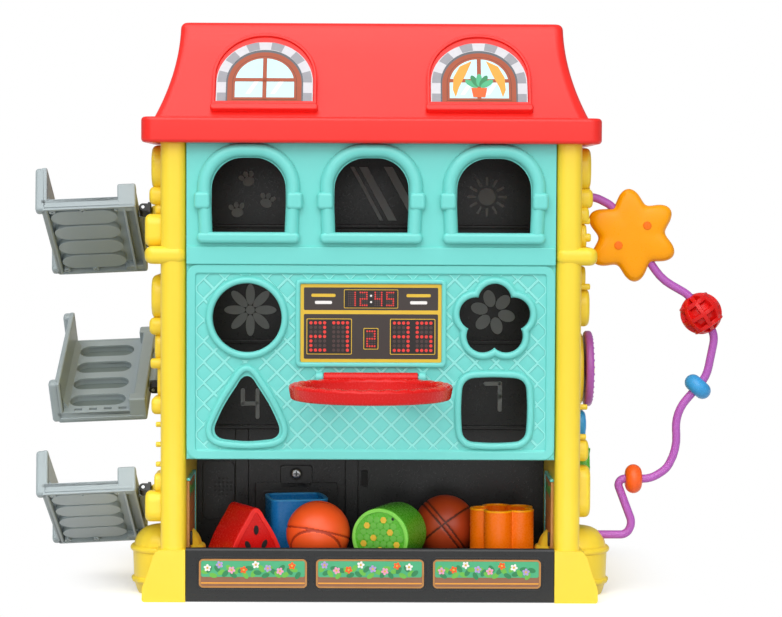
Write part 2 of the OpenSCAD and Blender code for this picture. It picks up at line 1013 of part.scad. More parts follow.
module speaker() {
    color("#3a3a3a")
        translate([speaker_x, core_y + wall, speaker_z])
            rotate([-90, 0, 0]) {
                cylinder(h = speaker_flange, d = speaker_d);
                cylinder(h = speaker_t, d = speaker_d * speaker_cone);
            }
}

// Hoop on its pin.
module hoop() {
    color("#e31b1b")
        difference() {
            union() {
                translate([0, hoop_ring_y, hoop_z - hoop_drop])
                    rotate_extrude($fn = 96)
                        translate([hoop_d / 2 - hoop_bar / 2, 0])
                            round_rect(hoop_bar, hoop_h, hoop_round);
                x_rod([-collar_w / 2, collar_w / 2], hoop_y, hoop_z, 2 * hoop_knuckle);
                slab([-collar_w / 2, collar_w / 2], [hoop_y + hoop_knuckle - collar_t, hoop_y + hoop_knuckle],
                    [hoop_z - hoop_drop - hoop_h / 2, hoop_z]);
                difference() {
                    slab([-collar_w / 2, collar_w / 2], [hoop_y - collar_reach, hoop_y + hoop_knuckle],
                        [hoop_z - hoop_drop - hoop_h / 2, hoop_z - hoop_drop + hoop_h / 2]);
                    translate([0, hoop_ring_y, hoop_z - 2 * hoop_drop])
                        cylinder(h = 2 * hoop_drop, d = hoop_d - hoop_bar, $fn = 96);
                }
            }
            x_rod([-collar_w, collar_w], hoop_y, hoop_z, hoop_pin_d + 2 * pin_fit);
        }
}

module hoop_pin() {
    reach = collar_w / 2 + ear_t + gap;
    color("#b9bdc1")
        x_rod([-reach, reach], hoop_y, hoop_z, hoop_pin_d);
}

// Ramps: local x away from the wall is negative, y runs along the slope, z stands on the floor.
module ramp_frame(i) {
    translate([-hinge_x, hinge_y[i], hinge_z[i]])
        rotate([hinge_dir[i] * ramp_slope, 0, 0])
            children();
}

module groove_places() {
    for (i = [0 : groove_n - 1])
        translate([-ramp_face - inner_box_w / 2 - ramp_w / 2, (i - (groove_n - 1) / 2) * groove_pitch, 0])
            children();
}

module ramp(i) {
    end = ramp_l / 2;
    outer = -ramp_face - ramp_w;
    low_end = -hinge_dir[i];
    ramp_frame(i)
        rotate([0, -ramp_droop, 0])
            difference() {
                union() {
                    difference() {
                        union() {
                            slab([outer, -ramp_face], [-end, end], [ramp_low, ramp_floor]);
                            slab([-ramp_face - inner_box_w, -ramp_face], [-end, end],
                                [ramp_floor, inner_box_top]);
                        }
                        slab([outer + skirt_t, -ramp_face - skirt_t], [skirt_t - end, end - skirt_t],
                            [ramp_low - 1, ramp_floor - floor_t]);
                        slab([-ramp_face - inner_box_w + skirt_t, -ramp_face - skirt_t],
                            [skirt_t - end, end - skirt_t],
                            [ramp_low - 1, inner_box_top - skirt_t]);
                    }
                    slab([outer, outer + outer_wall_t], [-end, end], [ramp_low, outer_wall_top]);
                    for (s = [-1, 1])
                        translate([0, s * (end - end_post_l / 2), 0])
                            slab([outer - end_post_out, outer + outer_wall_t], [-end_post_l / 2, end_post_l / 2],
                                [ramp_low, outer_wall_top]);
                    groove_places()
                        translate([0, 0, ramp_floor - groove_deep - floor_t])
                            linear_extrude(groove_deep + pad_into)
                                stadium(groove_l + 2 * pad_more, groove_w + 2 * pad_more);
                    slab([-ramp_face - skirt_t / 2, 0], [-lug_l / 2, lug_l / 2], [-knuckle, knuckle]);
                    translate([0, -lug_l / 2, 0])
                        rotate([-90, 0, 0])
                            cylinder(h = lug_l, r = knuckle);
                }
                groove_places()
                    translate([0, 0, ramp_floor - groove_deep])
                        linear_extrude(groove_deep + 1)
                            stadium(groove_l, groove_w);
                for (j = [0 : drain_n - 1])
                    translate([(j - (drain_n - 1) / 2) * drain_pitch - ramp_face - (inner_box_w + ramp_w) / 2,
                        low_end * (end - skirt_t - drain_l), ramp_floor - floor_t / 2])
                        cube([drain_w, drain_l, 2 * floor_t], center = true);
                translate([0, -lug_l, 0])
                    rotate([-90, 0, 0])
                        cylinder(h = 2 * lug_l, d = hinge_pin_d + 2 * pin_fit);
            }
}

module hinge_bar(i) {
    reach = lug_l / 2 + gap + bar_lug;
    color("#1e1e1e")
        ramp_frame(i)
            difference() {
                union() {
                    slab([bar_x, bar_x + bar_t], [-reach, reach], [-bar_h / 2, bar_h / 2]);
                    for (s = [-1, 1])
                        translate([0, s * (reach - bar_lug / 2), 0]) {
                            slab([0, bar_x + bar_t / 2], [-bar_lug / 2, bar_lug / 2], [-knuckle, knuckle]);
                            translate([0, -bar_lug / 2, 0])
                                rotate([-90, 0, 0])
                                    cylinder(h = bar_lug, r = knuckle);
                        }
                }
                translate([0, -2 * reach, 0])
                    rotate([-90, 0, 0])
                        cylinder(h = 4 * reach, d = hinge_pin_d + 2 * pin_fit);
            }
}

module hinge_pin(i) {
    reach = lug_l / 2 + gap + bar_lug;
    color("#b9bdc1")
        ramp_frame(i)
            translate([0, -reach, 0])
                rotate([-90, 0, 0])
                    cylinder(h = 2 * reach, d = hinge_pin_d);
}

// Bead wire, drawn in its own plane: straight runs joined by round bends.
function wire_point(i) = [half_w + wire_path[i][0], wire_path[i][1]];
function wire_run(i) = wire_point(i + 1) - wire_point(i);
function wire_angle(i) = atan2(wire_run(i)[1], wire_run(i)[0]);
function wire_turn(i) = let (d = wire_angle(i) - wire_angle(i - 1)) d - 360 * round(d / 360);
function wire_straight(i) = norm(wire_run(i)) - wire_trim(i) - wire_trim(i + 1);
function wire_trim(i) = i == 0 || i == wire_last ? 0 : wire_path[i][2] * tan(abs(wire_turn(i)) / 2);

module wire_plane() {
    translate([0, wire_y, 0])
        rotate([90, 0, 0])
            children();
}

// Places a piece on a straight run: x along the wire, z towards the front.
module on_wire(i, at) {
    p = wire_point(i) + at * wire_run(i);
    wire_plane()
        translate([p[0], p[1], 0])
            rotate([0, 0, wire_angle(i)])
                children();
}

module bead_wire() {
    color("#b35bb5")
        wire_plane() {
            for (i = [0 : wire_last - 1])
                translate([wire_point(i)[0], wire_point(i)[1], 0])
                    rotate([0, 0, wire_angle(i)])
                        translate([wire_trim(i) - run_over, 0, 0])
                            rotate([0, 90, 0])
                                cylinder(h = wire_straight(i) + 2 * run_over, d = wire_d);
            for (i = [1 : wire_last - 1]) {
                side = sign(wire_turn(i));
                translate([wire_point(i)[0], wire_point(i)[1], 0])
                    rotate([0, 0, wire_angle(i - 1)])
                        translate([-wire_trim(i), side * wire_path[i][2], 0])
                            rotate([0, 0, side > 0 ? -90 : 90 + wire_turn(i)])
                                rotate_extrude(angle = abs(wire_turn(i)))
                                    translate([wire_path[i][2], 0])
                                        circle(d = wire_d - bend_less, $fn = 32);
            }
        }
}

module star_outline() {
    reach = star_r - lobe_r;
    circle(star_r * star_core);
    for (i = [0 : lobe_n - 1])
        rotate(star_turn + i * 360 / lobe_n) {
            translate([reach, 0])
                circle(lobe_r);
            polygon([[0, -star_r * lobe_base], [reach, -lobe_r], [reach, lobe_r], [0, star_r * lobe_base]]);
        }
}

module star_bores() {
    translate([-star_r, 0, 0])
        rotate([0, 90, 0])
            cylinder(h = 2 * star_r, d = wire_d + 2 * bead_gap);
    for (s = [-1, 1])
        translate([0, s * star_pin_side, -star_t])
            cylinder(h = 2 * star_t, d = star_pin_d);
}

module star_half(s) {
    color("#ff9410")
        on_wire(star_seg, star_at)
            difference() {
                mirror([0, 0, s])
                    linear_extrude(star_t / 2)
                        star_outline();
                star_bores();
            }
}

module star_pins() {
    color("#ffa83a")
        on_wire(star_seg, star_at)
            for (s = [-1, 1])
                translate([0, s * star_pin_side, -star_t / 2])
                    cylinder(h = star_t + star_pin_head, d = star_pin_d);
}

module lattice_bead() {
    color("#d8201f")
        on_wire(lattice_seg, lattice_at)
            difference() {
                union() {
                    sphere(d = lattice_bead_d * lattice_core);
                    intersection() {
                        sphere(d = lattice_bead_d);
                        union() {
                            cube([lattice_band, 2 * lattice_bead_d, 2 * lattice_bead_d], center = true);
                            cube([2 * lattice_bead_d, lattice_band, 2 * lattice_bead_d], center = true);
                            cube([2 * lattice_bead_d, 2 * lattice_bead_d, lattice_band], center = true);
                        }
                    }
                }
                translate([-lattice_bead_d, 0, 0])
                    rotate([0, 90, 0])
                        cylinder(h = 2 * lattice_bead_d, d = wire_d + 2 * bead_gap);
            }
}

module ring_bead() {
    rotate([0, 90, 0])
        rotate_extrude()
            difference() {
                translate([ring_bead_d / 2 - bead_tube, 0])
                    circle(bead_tube);
                translate([-ring_bead_d, -ring_bead_d])
                    square([ring_bead_d + wire_d / 2 + bead_gap, 2 * ring_bead_d]);
            }
}

module blue_bead() {
    color("#2f9bdd")
        on_wire(blue_seg, blue_at)
            ring_bead();
}

module orange_bead() {
    color("#ff6a0f")
        on_wire(orange_seg, orange_at)
            ring_bead();
}

// Spinner on the right side wall.
module spinner() {
    color("#b35bb5")
        difference() {
            union() {
                x_rod([spinner_x, spinner_x + spinner_t], spinner_y, spinner_z, spinner_d);
                x_rod([half_w + gap, spinner_x + 1], spinner_y, spinner_z, hub_d);
            }
            x_rod([half_w - 1, half_w + 4 * spinner_t], spinner_y, spinner_z, axle_d + 2 * pin_fit);
        }
}

module spinner_axle() {
    cap_x = spinner_x + spinner_t + gap;
    color("#ffe04a") {
        x_rod([half_w - wall, spinner_x + spinner_t + 2 * gap], spinner_y, spinner_z, axle_d);
        x_rod([cap_x, cap_x + axle_cap], spinner_y, spinner_z, hub_d);
    }
}

// Loose blocks are open cups; each one is drawn standing on its closed end.
module cup(h) {
    difference() {
        linear_extrude(h)
            children(0);
        translate([0, 0, block_wall])
            linear_extrude(h)
                children(1);
    }
}

module triangle_block() {
    color("#d51713")
        translate([triangle_at[0], triangle_at[1], floor_z - sorter_gap + corner_more])
            rotate([0, 0, triangle_turn])
                translate([0, -block_h / 2, 0])
                    rotate([90, 0, 0])
                        mirror([0, 0, 1])
                            cup(block_h) {
                                triangle_shape(-sorter_gap);
                                triangle_shape(-sorter_gap - block_wall);
                            }
}

module square_block() {
    color("#1f78be")
        translate([square_at[0], square_at[1], floor_z])
            rotate([0, 0, square_turn])
                cup(square_tall) {
                    square_shape(-sorter_gap);
                    square_shape(-sorter_gap - block_wall);
                }
}

module round_block() {
    color("#5cbf2c")
        translate([round_at[0], round_at[1], floor_z + round_hole / 2 - 2 * sorter_gap])
            rotate([0, 0, round_turn])
                translate([0, -block_h / 2, 0])
                    rotate([90, 0, 0])
                        mirror([0, 0, 1])
                            cup(block_h) {
                                round_shape(-2 * sorter_gap);
                                round_shape(-2 * sorter_gap - block_wall);
                            }
}

module flower_block() {
    color("#ff7700")
        translate([flower_at[0], flower_at[1], floor_z])
            rotate([0, 0, flower_turn])
                cup(block_h) {
                    flower_shape(-sorter_gap);
                    flower_shape(-sorter_gap - block_wall);
                }
}

module ball(at) {
    translate([at[0], at[1], floor_z + ball_d / 2])
        sphere(d = ball_d, $fn = 96);
}

base_plate();
base_tray();
core_wall();
left_side_wall();
right_side_wall();
upper_front_panel();
lower_front_panel();
rear_panel();
roof();
case_screws();
score_label();
planter_labels();
attic_label(-1);  // left_attic_label
attic_label(1);  // right_attic_label
color("#e9c22f") mirror([1, 0, 0]) bay_liner();  // left_bay_liner
color("#e9c22f") bay_liner();  // right_bay_liner
color("#5fd3c9") mirror([1, 0, 0]) liner_trim();  // left_liner_trim
color("#5fd3c9") liner_trim();  // right_liner_trim
leaf_plate();
blue_plate();
battery_box();
battery_cells();
battery_contacts();
battery_door();
battery_screw();
circuit_board();
speaker();
power_slider();
hoop();
hoop_pin();
color("#93a09f") ramp(0);  // ramp_top
color("#93a09f") ramp(1);  // ramp_middle
color("#93a09f") ramp(2);  // ramp_bottom
hinge_bar(0);  // hinge_bar_top
hinge_bar(1);  // hinge_bar_middle
hinge_bar(2);  // hinge_bar_bottom
hinge_pin(0);  // hinge_pin_top
hinge_pin(1);  // hinge_pin_middle
hinge_pin(2);  // hinge_pin_bottom
bead_wire();
star_half(0);  // star_front
star_half(1);  // star_back
star_pins();
lattice_bead();
blue_bead();
orange_bead();
spinner();
spinner_axle();
triangle_block();
square_block();
round_block();
flower_block();
color("#e8501c") ball(orange_ball_at);  // orange_ball
color("#8e2f17") ball(brown_ball_at);  // brown_ball
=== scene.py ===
"""Looks of a toy activity house: moulded shells, printed labels, ramps, bead wire, blocks and balls."""

import logging
import math
from dataclasses import dataclass, field
from enum import Enum
from typing import Callable, Iterable, Sequence, Union

import bmesh
import bpy
from mathutils import Matrix, Vector


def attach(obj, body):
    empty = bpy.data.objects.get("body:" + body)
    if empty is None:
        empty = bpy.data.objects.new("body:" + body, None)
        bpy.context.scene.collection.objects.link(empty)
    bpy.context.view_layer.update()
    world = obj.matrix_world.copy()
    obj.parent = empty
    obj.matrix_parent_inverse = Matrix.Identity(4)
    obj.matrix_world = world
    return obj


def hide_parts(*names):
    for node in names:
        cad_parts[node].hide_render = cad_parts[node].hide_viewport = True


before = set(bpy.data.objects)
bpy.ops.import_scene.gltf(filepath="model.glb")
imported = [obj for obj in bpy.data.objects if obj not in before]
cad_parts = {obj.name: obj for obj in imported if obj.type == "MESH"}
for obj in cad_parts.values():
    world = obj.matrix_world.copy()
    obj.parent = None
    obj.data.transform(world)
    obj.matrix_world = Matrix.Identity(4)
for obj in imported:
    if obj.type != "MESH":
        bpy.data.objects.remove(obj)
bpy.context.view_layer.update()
MM = 0.001
LOG = logging.getLogger("activity_house")
Point = tuple[float, float]
Place = tuple[float, float, float]
Pick = Callable[[Vector], bool]
WHITE_LIGHT = (1.0, 1.0, 1.0, 1.0)
# The ramps' hinges on the left wall: Y, Z and the way that the ramp leans, then their X and slope.
HINGES = {"top": (-47.5, 264.0, -1), "middle": (33.0, 153.6, 1), "bottom": (-47.5, 62.7, -1)}
HINGE_X = -163.5
SLOPE = 27.0


def anywhere(co: Vector) -> bool:
    """Picks every corner and edge."""
    return True


class Axis(Enum):
    """The three directions of the frame."""

    X = "X"
    Y = "Y"
    Z = "Z"


def linear(code: str) -> tuple[float, float, float, float]:
    """Turns an sRGB hex colour into linear RGBA.

    Args:
        code: A colour such as "#E8161A".

    Returns:
        Red, green, blue and alpha for a shader socket.
    """
    parts = [int(code[i : i + 2], 16) / 255 for i in (1, 3, 5)]
    red, green, blue = (c / 12.92 if c <= 0.04045 else ((c + 0.055) / 1.055) ** 2.4 for c in parts)
    return red, green, blue, 1.0


def add_node(
    tree: bpy.types.NodeTree, kind: str, settings: Union[dict, None] = None, sockets: Union[dict, None] = None
) -> bpy.types.Node:
    """Adds a shader node.

    Args:
        tree: The material's or world's node tree.
        kind: The node's type name.
        settings: Properties to set on the node.
        sockets: Input name or number to a value, or to an output socket to link.

    Returns:
        The new node.
    """
    node = tree.nodes.new(kind)
    for key, value in (settings or {}).items():
        setattr(node, key, value)
    for key, value in (sockets or {}).items():
        if isinstance(value, bpy.types.NodeSocket):
            tree.links.new(value, node.inputs[key])
        else:
            node.inputs[key].default_value = value
    return node


@dataclass(frozen=True)
class Finish:
    """A surface finish: an even colour with faint mottling, its gloss and the fine relief of its skin.

    The mottling and the skin are drawn at real sizes in millimetres. A moulded skin is finer than a pixel of
    the render, so it is drawn coarser, at about a millimetre, to show at all.
    """

    name: str
    colour: str
    deep: str
    roughness: float = 0.32
    spread: float = 0.08
    skin_mm: float = 1.4
    skin_depth_mm: float = 0.012
    mottle_mm: float = 36.0
    metallic: float = 0.0
    ior: float = 1.5
    level: float = 0.5

    def material(self) -> bpy.types.Material:
        """Makes the material once and gives it back on later calls.

        Returns:
            The node material of this finish.
        """
        known = bpy.data.materials.get(self.name)
        if known:
            return known
        made = bpy.data.materials.new(self.name)
        made.use_nodes = True
        tree = made.node_tree
        shader = next(n for n in tree.nodes if n.type == "BSDF_PRINCIPLED")
        place = add_node(tree, "ShaderNodeTexCoord").outputs["Object"]
        cloud, skin = (
            add_node(
                tree, "ShaderNodeTexNoise",
                sockets={"Vector": place, "Scale": 1 / (size * MM), "Detail": detail, "Roughness": rough},
            ).outputs["Fac"]
            for size, detail, rough in ((self.mottle_mm, 3.0, 0.55), (self.skin_mm, 2.0, 0.6))
        )
        tint = add_node(
            tree, "ShaderNodeMix", {"data_type": "RGBA"},
            {0: cloud, 6: linear(self.colour), 7: linear(self.deep)},
        )
        low, high = self.roughness - self.spread / 2, self.roughness + self.spread / 2
        gloss = add_node(
            tree, "ShaderNodeMapRange",
            sockets={"Value": skin, "From Min": 0.3, "From Max": 0.7, "To Min": low, "To Max": high},
        )
        relief = add_node(
            tree, "ShaderNodeBump",
            sockets={"Height": skin, "Strength": 1.0, "Distance": self.skin_depth_mm * MM},
        )
        tree.links.new(tint.outputs[2], shader.inputs["Base Color"])
        tree.links.new(gloss.outputs["Result"], shader.inputs["Roughness"])
        tree.links.new(relief.outputs["Normal"], shader.inputs["Normal"])
        shader.inputs["Metallic"].default_value = self.metallic
        if not self.metallic:
            shader.inputs["IOR"].default_value = self.ior
        shader.inputs["Specular IOR Level"].default_value = self.level
        return made


def ink(name: str, colour: str, deep: str, roughness: float, mottle: float) -> tuple[Finish, str]:
    """The finish of a printed ink, with its slot in the record."""
    return Finish(f"ink_{name}", colour, deep, roughness, mottle_mm=mottle), "printed_film"


class Paint(Enum):
    """The finishes of the house, each with its slot in the record."""

    # Gloss ABS mouldings: even strong colour, soft wide highlights from a polished tool.
    # The deep teal is painted shade in the lattice's grooves, and the pale teal a painted highlight along its
    # straps; both stand for the same teal plastic.
    RED = (Finish("gloss_abs_red", "#F6281F", "#EE211A", 0.36), "red_abs")
    TEAL = (Finish("satin_abs_teal", "#75DAD2", "#6ED4CC", 0.36), "teal_abs")
    TEAL_GROOVE_SHADE = (Finish("teal_abs_painted_groove_shade", "#3FA8A0", "#39A199", 0.4), "teal_abs")
    TEAL_STRAP_HIGHLIGHT = (Finish("teal_abs_painted_strap_highlight", "#93E8E1", "#8CE3DB", 0.34), "teal_abs")
    YELLOW = (Finish("gloss_abs_yellow", "#FBDD3C", "#F7D634", 0.34), "yellow_abs")
    PURPLE = (Finish("gloss_abs_purple", "#BA60BE", "#B158B6", 0.3), "purple_abs")
    ORANGE = (Finish("gloss_abs_orange", "#FFAA06", "#FC9E02", 0.3, level=0.25), "orange_abs")
    TANGERINE = (Finish("gloss_abs_tangerine", "#FF7C08", "#FC6E03", 0.28, level=0.3), "orange_abs")
    CORAL = (Finish("gloss_abs_coral", "#FF6412", "#F85A0C", 0.4), "orange_abs")
    SKY = (Finish("gloss_abs_sky_blue", "#3AA2E0", "#2F97D6", 0.34), "blue_abs")
    BLUE = (Finish("gloss_abs_blue", "#1C82CC", "#1678C0", 0.28, level=0.3), "blue_abs")
    GREEN = (Finish("gloss_abs_green", "#5CBB2E", "#52B026", 0.28), "green_abs")
    LIME = (Finish("gloss_abs_lime", "#8ADD58", "#80D44E", 0.3), "green_abs")
    CRIMSON = (Finish("gloss_abs_crimson", "#E01A17", "#D41311", 0.26, level=0.3), "red_abs")
    # Spark-eroded black ABS: a dull fine grain that greys the highlights.
    BLACK = (Finish("grained_abs_black", "#1F2021", "#1A1B1B", 0.32, 0.12, 1.1, 0.02), "black_abs")
    # Light grey painted on the raised motifs, which are moulded in the same black plastic, as a painted
    # highlight.
    RAISED_HIGHLIGHT = (Finish("black_abs_painted_relief_highlight", "#8E9496", "#868C8E", 0.45, 0.12, 1.1, 0.03), "black_abs")
    # Near-black for dark printed marks such as the pips, and painted shade on flat discs and plates that
    # stand for holes, slots and recesses.
    BLACK_MARKS_AND_HOLE_SHADE = (Finish("black_marks_and_painted_hole_shade", "#161616", "#121212", 0.6), "black_abs")
    # Satin ABS: a grey moulding with a slightly milky sheen, and a darker grey of the same plastic painted as
    # shade in its wells.
    GREY = (Finish("satin_abs_grey", "#A2AEB1", "#9BA7AA", 0.4, 0.1, 1.2, 0.02), "grey_abs")
    GREY_WELL_SHADE = (Finish("grey_abs_painted_well_shade", "#76827F", "#707B79", 0.45, 0.1, 1.2, 0.02), "grey_abs")
    # Soft vinyl balls: a dull pebbled skin with darker moulded seams.
    VINYL_ORANGE = (Finish("pebbled_vinyl_orange", "#FA5E24", "#F2541C", 0.38, 0.1, 1.0, 0.05), "orange_pvc")
    SEAM_ORANGE = (Finish("vinyl_seam_orange", "#B93A14", "#AC3210", 0.5, 0.1, 1.0, 0.05), "orange_pvc")
    VINYL_BROWN = (Finish("pebbled_vinyl_brown", "#B8441A", "#AB3A14", 0.4, 0.1, 1.0, 0.05), "brown_pvc")
    SEAM_BROWN = (Finish("vinyl_seam_brown", "#5E2412", "#541E0E", 0.5, 0.1, 1.0, 0.05), "brown_pvc")
    # Turned and plated steel: grey mirror broken by fine tool marks.
    STEEL = (Finish("plated_steel", "#C9CCCE", "#BEC2C4", 0.28, 0.12, 0.8, 0.01, metallic=1.0), "steel")
    # Printed film under gloss varnish: flat ink colours on a thin label.
    STONE = ink("pale_stone", "#D6D4D8", "#C6C4CA", 0.4, 3)
    SLATE = ink("grey_stone", "#9D9CA2", "#8E8E95", 0.4, 3)
    SHADE = ink("dark_stone", "#606166", "#55565B", 0.4, 4)
    BARK = ink("brown", "#A84A20", "#9C411A", 0.4, 9)
    UMBER = ink("dark_brown", "#7A3413", "#6E2D10", 0.4, 9)
    PANE = ink("pane_blue", "#CDEFF5", "#BFE8F0", 0.3, 12)
    GLARE = ink("pane_white", "#EAF9FB", "#E2F5F8", 0.3, 12)
    GOLD = ink("gold", "#E8C13C", "#DFB632", 0.36, 9)
    SIGN = ink("sign_grey", "#3C332F", "#362D2A", 0.4, 9)
    NIGHT = ink("black", "#1E1716", "#191211", 0.4, 9)
    LAMP = ink("lamp_red", "#F04038", "#E6352E", 0.4, 5)
    UNLIT = ink("lamp_dark", "#4B3634", "#44302E", 0.4, 5)
    TIMBER = ink("timber", "#C48A48", "#B97E3E", 0.42, 7)
    SOIL = ink("soil", "#98684A", "#8C5E41", 0.42, 7)
    LEAF = ink("leaf", "#4DB682", "#43AB77", 0.42, 6)
    FERN = ink("fern", "#6FC04A", "#64B63F", 0.42, 6)
    MOSS = ink("moss", "#2E8B57", "#27804E", 0.42, 6)
    PINK = ink("pink", "#F0A8C8", "#E99BBD", 0.42, 5)
    LILAC = ink("lilac", "#B9A5DE", "#AD98D5", 0.42, 5)
    WHITE = ink("white", "#F6F3F0", "#EFEBE8", 0.42, 5)
    AMBER = ink("amber", "#F0A63A", "#E79B2E", 0.42, 5)
    # Inner pieces that only show when the house is taken apart.
    JACKET = (Finish("printed_cell_jacket", "#C8A24A", "#3A3A3A", 0.35, mottle_mm=20), "cell_jacket")
    BOARD = (Finish("solder_resist_green", "#1F6B3A", "#195E32", 0.35, mottle_mm=6), "board")
    FRAME = (Finish("black_painted_steel", "#3A3A3A", "#2E2E2E", 0.45, mottle_mm=9), "speaker_frame")

    @property
    def finish(self) -> Finish:
        """The finish itself."""
        return self.value[0]

    @property
    def slot(self) -> str:
        """The record's material slot."""
        return self.value[1]


class Form:
    """A mesh under construction, in millimetres, shaped by bmesh operators.

    Flat drawings lie in X and Y and grow along Z; stand() turns a drawing upright, to face the front.
    """

    def __init__(self) -> None:
        """Starts an empty mesh."""
        self.bm = bmesh.new()

    def apply(self, matrix: Matrix) -> "Form":
        """Moves the whole mesh by a matrix."""
        bmesh.ops.transform(self.bm, matrix=matrix, verts=self.bm.verts[:])
        return self

    def move(self, x: float = 0.0, y: float = 0.0, z: float = 0.0) -> "Form":
        """Shifts the whole mesh."""
        return self.apply(Matrix.Translation((x, y, z)))

    def turn(self, degrees: float, axis: Axis) -> "Form":
        """Turns the whole mesh about an axis through the origin."""
        return self.apply(Matrix.Rotation(math.radians(degrees), 4, axis.value))

    def size(self, x: float = 1.0, y: float = 1.0, z: float = 1.0) -> "Form":
        """Scales the whole mesh about the origin."""
        return self.apply(Matrix.Diagonal((x, y, z, 1.0)))

    def stand(self, y: float = 0.0) -> "Form":
        """Turns a drawing upright in X and Z, facing the front from depth y."""
        return self.turn(90, Axis.X).move(y=y)

    def face_right(self) -> "Form":
        """Turns a drawing upright in Y and Z, facing the right."""
        return self.turn(90, Axis.X).turn(90, Axis.Z)

    def outward(self) -> "Form":
        """Points all faces of a closed mesh outward."""
        bmesh.ops.recalc_face_normals(self.bm, faces=self.bm.faces[:])
        return self

    def mirrored(self, side: int, axis: Axis = Axis.X) -> "Form":
        """Mirrors the mesh and keeps its faces outward.

        Args:
            side: -1 to mirror, 1 to leave the mesh as it is.
            axis: The direction that is turned round.

        Returns:
            This mesh.
        """
        if side < 0:
            self.size(**{axis.value.lower(): -1.0})
            bmesh.ops.reverse_faces(self.bm, faces=self.bm.faces[:])
        return self

    def add(self, *others: "Form", tint: Union[int, None] = None) -> "Form":
        """Joins other meshes into this one.

        Args:
            others: The meshes to take in; they are used up.
            tint: Material number for their faces, where they get a new one.

        Returns:
            This mesh.
        """
        for other in others:
            if tint is not None:
                for face in other.bm.faces:
                    face.material_index = tint
            mesh = bpy.data.meshes.new("joined")
            other.bm.to_mesh(mesh)
            self.bm.from_mesh(mesh)
            bpy.data.meshes.remove(mesh)
            other.bm.free()
        return self

    def copy(self) -> "Form":
        """Makes a second mesh like this one.

        Returns:
            The copy.
        """
        twin = Form()
        twin.bm.free()
        twin.bm = self.bm.copy()
        return twin

    def pull(self, faces: Sequence[bmesh.types.BMFace], vec: Sequence[float]) -> list:
        """Extrudes faces.

        Args:
            faces: The faces to extrude.
            vec: How far, and where to.

        Returns:
            The faces at the far end.
        """
        made = bmesh.ops.extrude_face_region(self.bm, geom=list(faces))["geom"]
        moved = [g for g in made if isinstance(g, bmesh.types.BMVert)]
        bmesh.ops.translate(self.bm, vec=vec, verts=moved)
        return [g for g in made if isinstance(g, bmesh.types.BMFace)]

    def thick(self, depth: float) -> "Form":
        """Gives a flat drawing thickness along Z."""
        self.pull(self.bm.faces[:], (0, 0, depth))
        return self.outward()

    def loft(self, levels: Iterable[Place]) -> "Form":
        """Grows a one-face drawing through levels of height and size.

        Args:
            levels: Height, X size and Y size of each level; sizes are shares of the drawing.

        Returns:
            This mesh, closed by the last level.
        """
        top = self.bm.faces[:]
        height, wide, deep = 0.0, 1.0, 1.0
        for z, sx, sy in levels:
            top = self.pull(top, (0, 0, z - height))
            corners = {v for f in top for v in f.verts}
            bmesh.ops.scale(self.bm, vec=(sx / wide, sy / deep, 1), verts=list(corners))
            height, wide, deep = z, sx, sy
        return self.outward()

    def ring(self, width: float) -> "Form":
        """Turns a one-face drawing into the band inside its edge.

        Args:
            width: Width of the band.

        Returns:
            This mesh.
        """
        core = self.bm.faces[:]
        bmesh.ops.inset_region(self.bm, faces=core, thickness=width, use_even_offset=True, use_boundary=True)
        bmesh.ops.delete(self.bm, geom=core, context="FACES_ONLY")
        loose = [e for e in self.bm.edges if not e.link_faces]
        bmesh.ops.delete(self.bm, geom=loose, context="EDGES")
        return self

    def corners(self, radius: float, steps: int = 6, pick: Pick = anywhere) -> "Form":
        """Rounds the corners of a flat drawing.

        Args:
            radius: Length that the round takes of each side.
            steps: Number of straight pieces in a round.
            pick: Tells which corners are rounded.

        Returns:
            This mesh.
        """
        chosen = [v for v in self.bm.verts if pick(v.co)]
        bmesh.ops.bevel(
            self.bm, geom=chosen, offset=radius, offset_type="OFFSET", segments=steps, profile=0.5,
            affect="VERTICES", clamp_overlap=True, material=-1,
        )
        return self

    def soften(self, width: float, steps: int = 3, sharper: float = 60.0, pick: Pick = anywhere) -> "Form":
        """Rounds the sharp edges of a solid.

        Args:
            width: Width of the round.
            steps: Number of faces across it.
            sharper: Only edges that turn by more degrees than this.
            pick: Tells, by the middle of an edge, which edges are rounded.

        Returns:
            This mesh.
        """
        limit = math.radians(sharper)
        closed = [e for e in self.bm.edges if len(e.link_faces) == 2]
        sharp = [e for e in closed if e.calc_face_angle(0.0) > limit]
        edges = [e for e in sharp if pick((e.verts[0].co + e.verts[1].co) / 2)]
        bmesh.ops.bevel(
            self.bm, geom=edges, offset=width, offset_type="OFFSET", segments=steps, profile=0.5,
            affect="EDGES", clamp_overlap=True, material=-1,
        )
        return self

    def bend(self, rule: Callable[[Vector], Vector]) -> "Form":
        """Moves every vertex by a rule.

        Args:
            rule: Gives a vertex's new place for its old one.

        Returns:
            This mesh.
        """
        for vert in self.bm.verts:
            vert.co = rule(vert.co)
        return self

    def carve(self, *cutters: "Form") -> "Form":
        """Cuts other solids out of this one.

        Args:
            cutters: Closed meshes; they are used up.

        Returns:
            This mesh.
        """
        tool = Form().add(*cutters)
        bodies = []
        for form, name in ((self, "carved"), (tool, "cutter")):
            mesh = bpy.data.meshes.new(name)
            form.bm.to_mesh(mesh)
            form.bm.free()
            bodies.append(bpy.data.objects.new(name, mesh))
            bpy.context.scene.collection.objects.link(bodies[-1])
        work, knife = bodies
        cut = work.modifiers.new("cut", "BOOLEAN")
        cut.operation, cut.solver, cut.object, cut.use_self = "DIFFERENCE", "EXACT", knife, True
        done = work.evaluated_get(bpy.context.evaluated_depsgraph_get())
        self.bm = bmesh.new()
        self.bm.from_mesh(done.to_mesh())
        done.to_mesh_clear()
        for body in bodies:
            mesh = body.data
            bpy.data.objects.remove(body)
            bpy.data.meshes.remove(mesh)
        return self


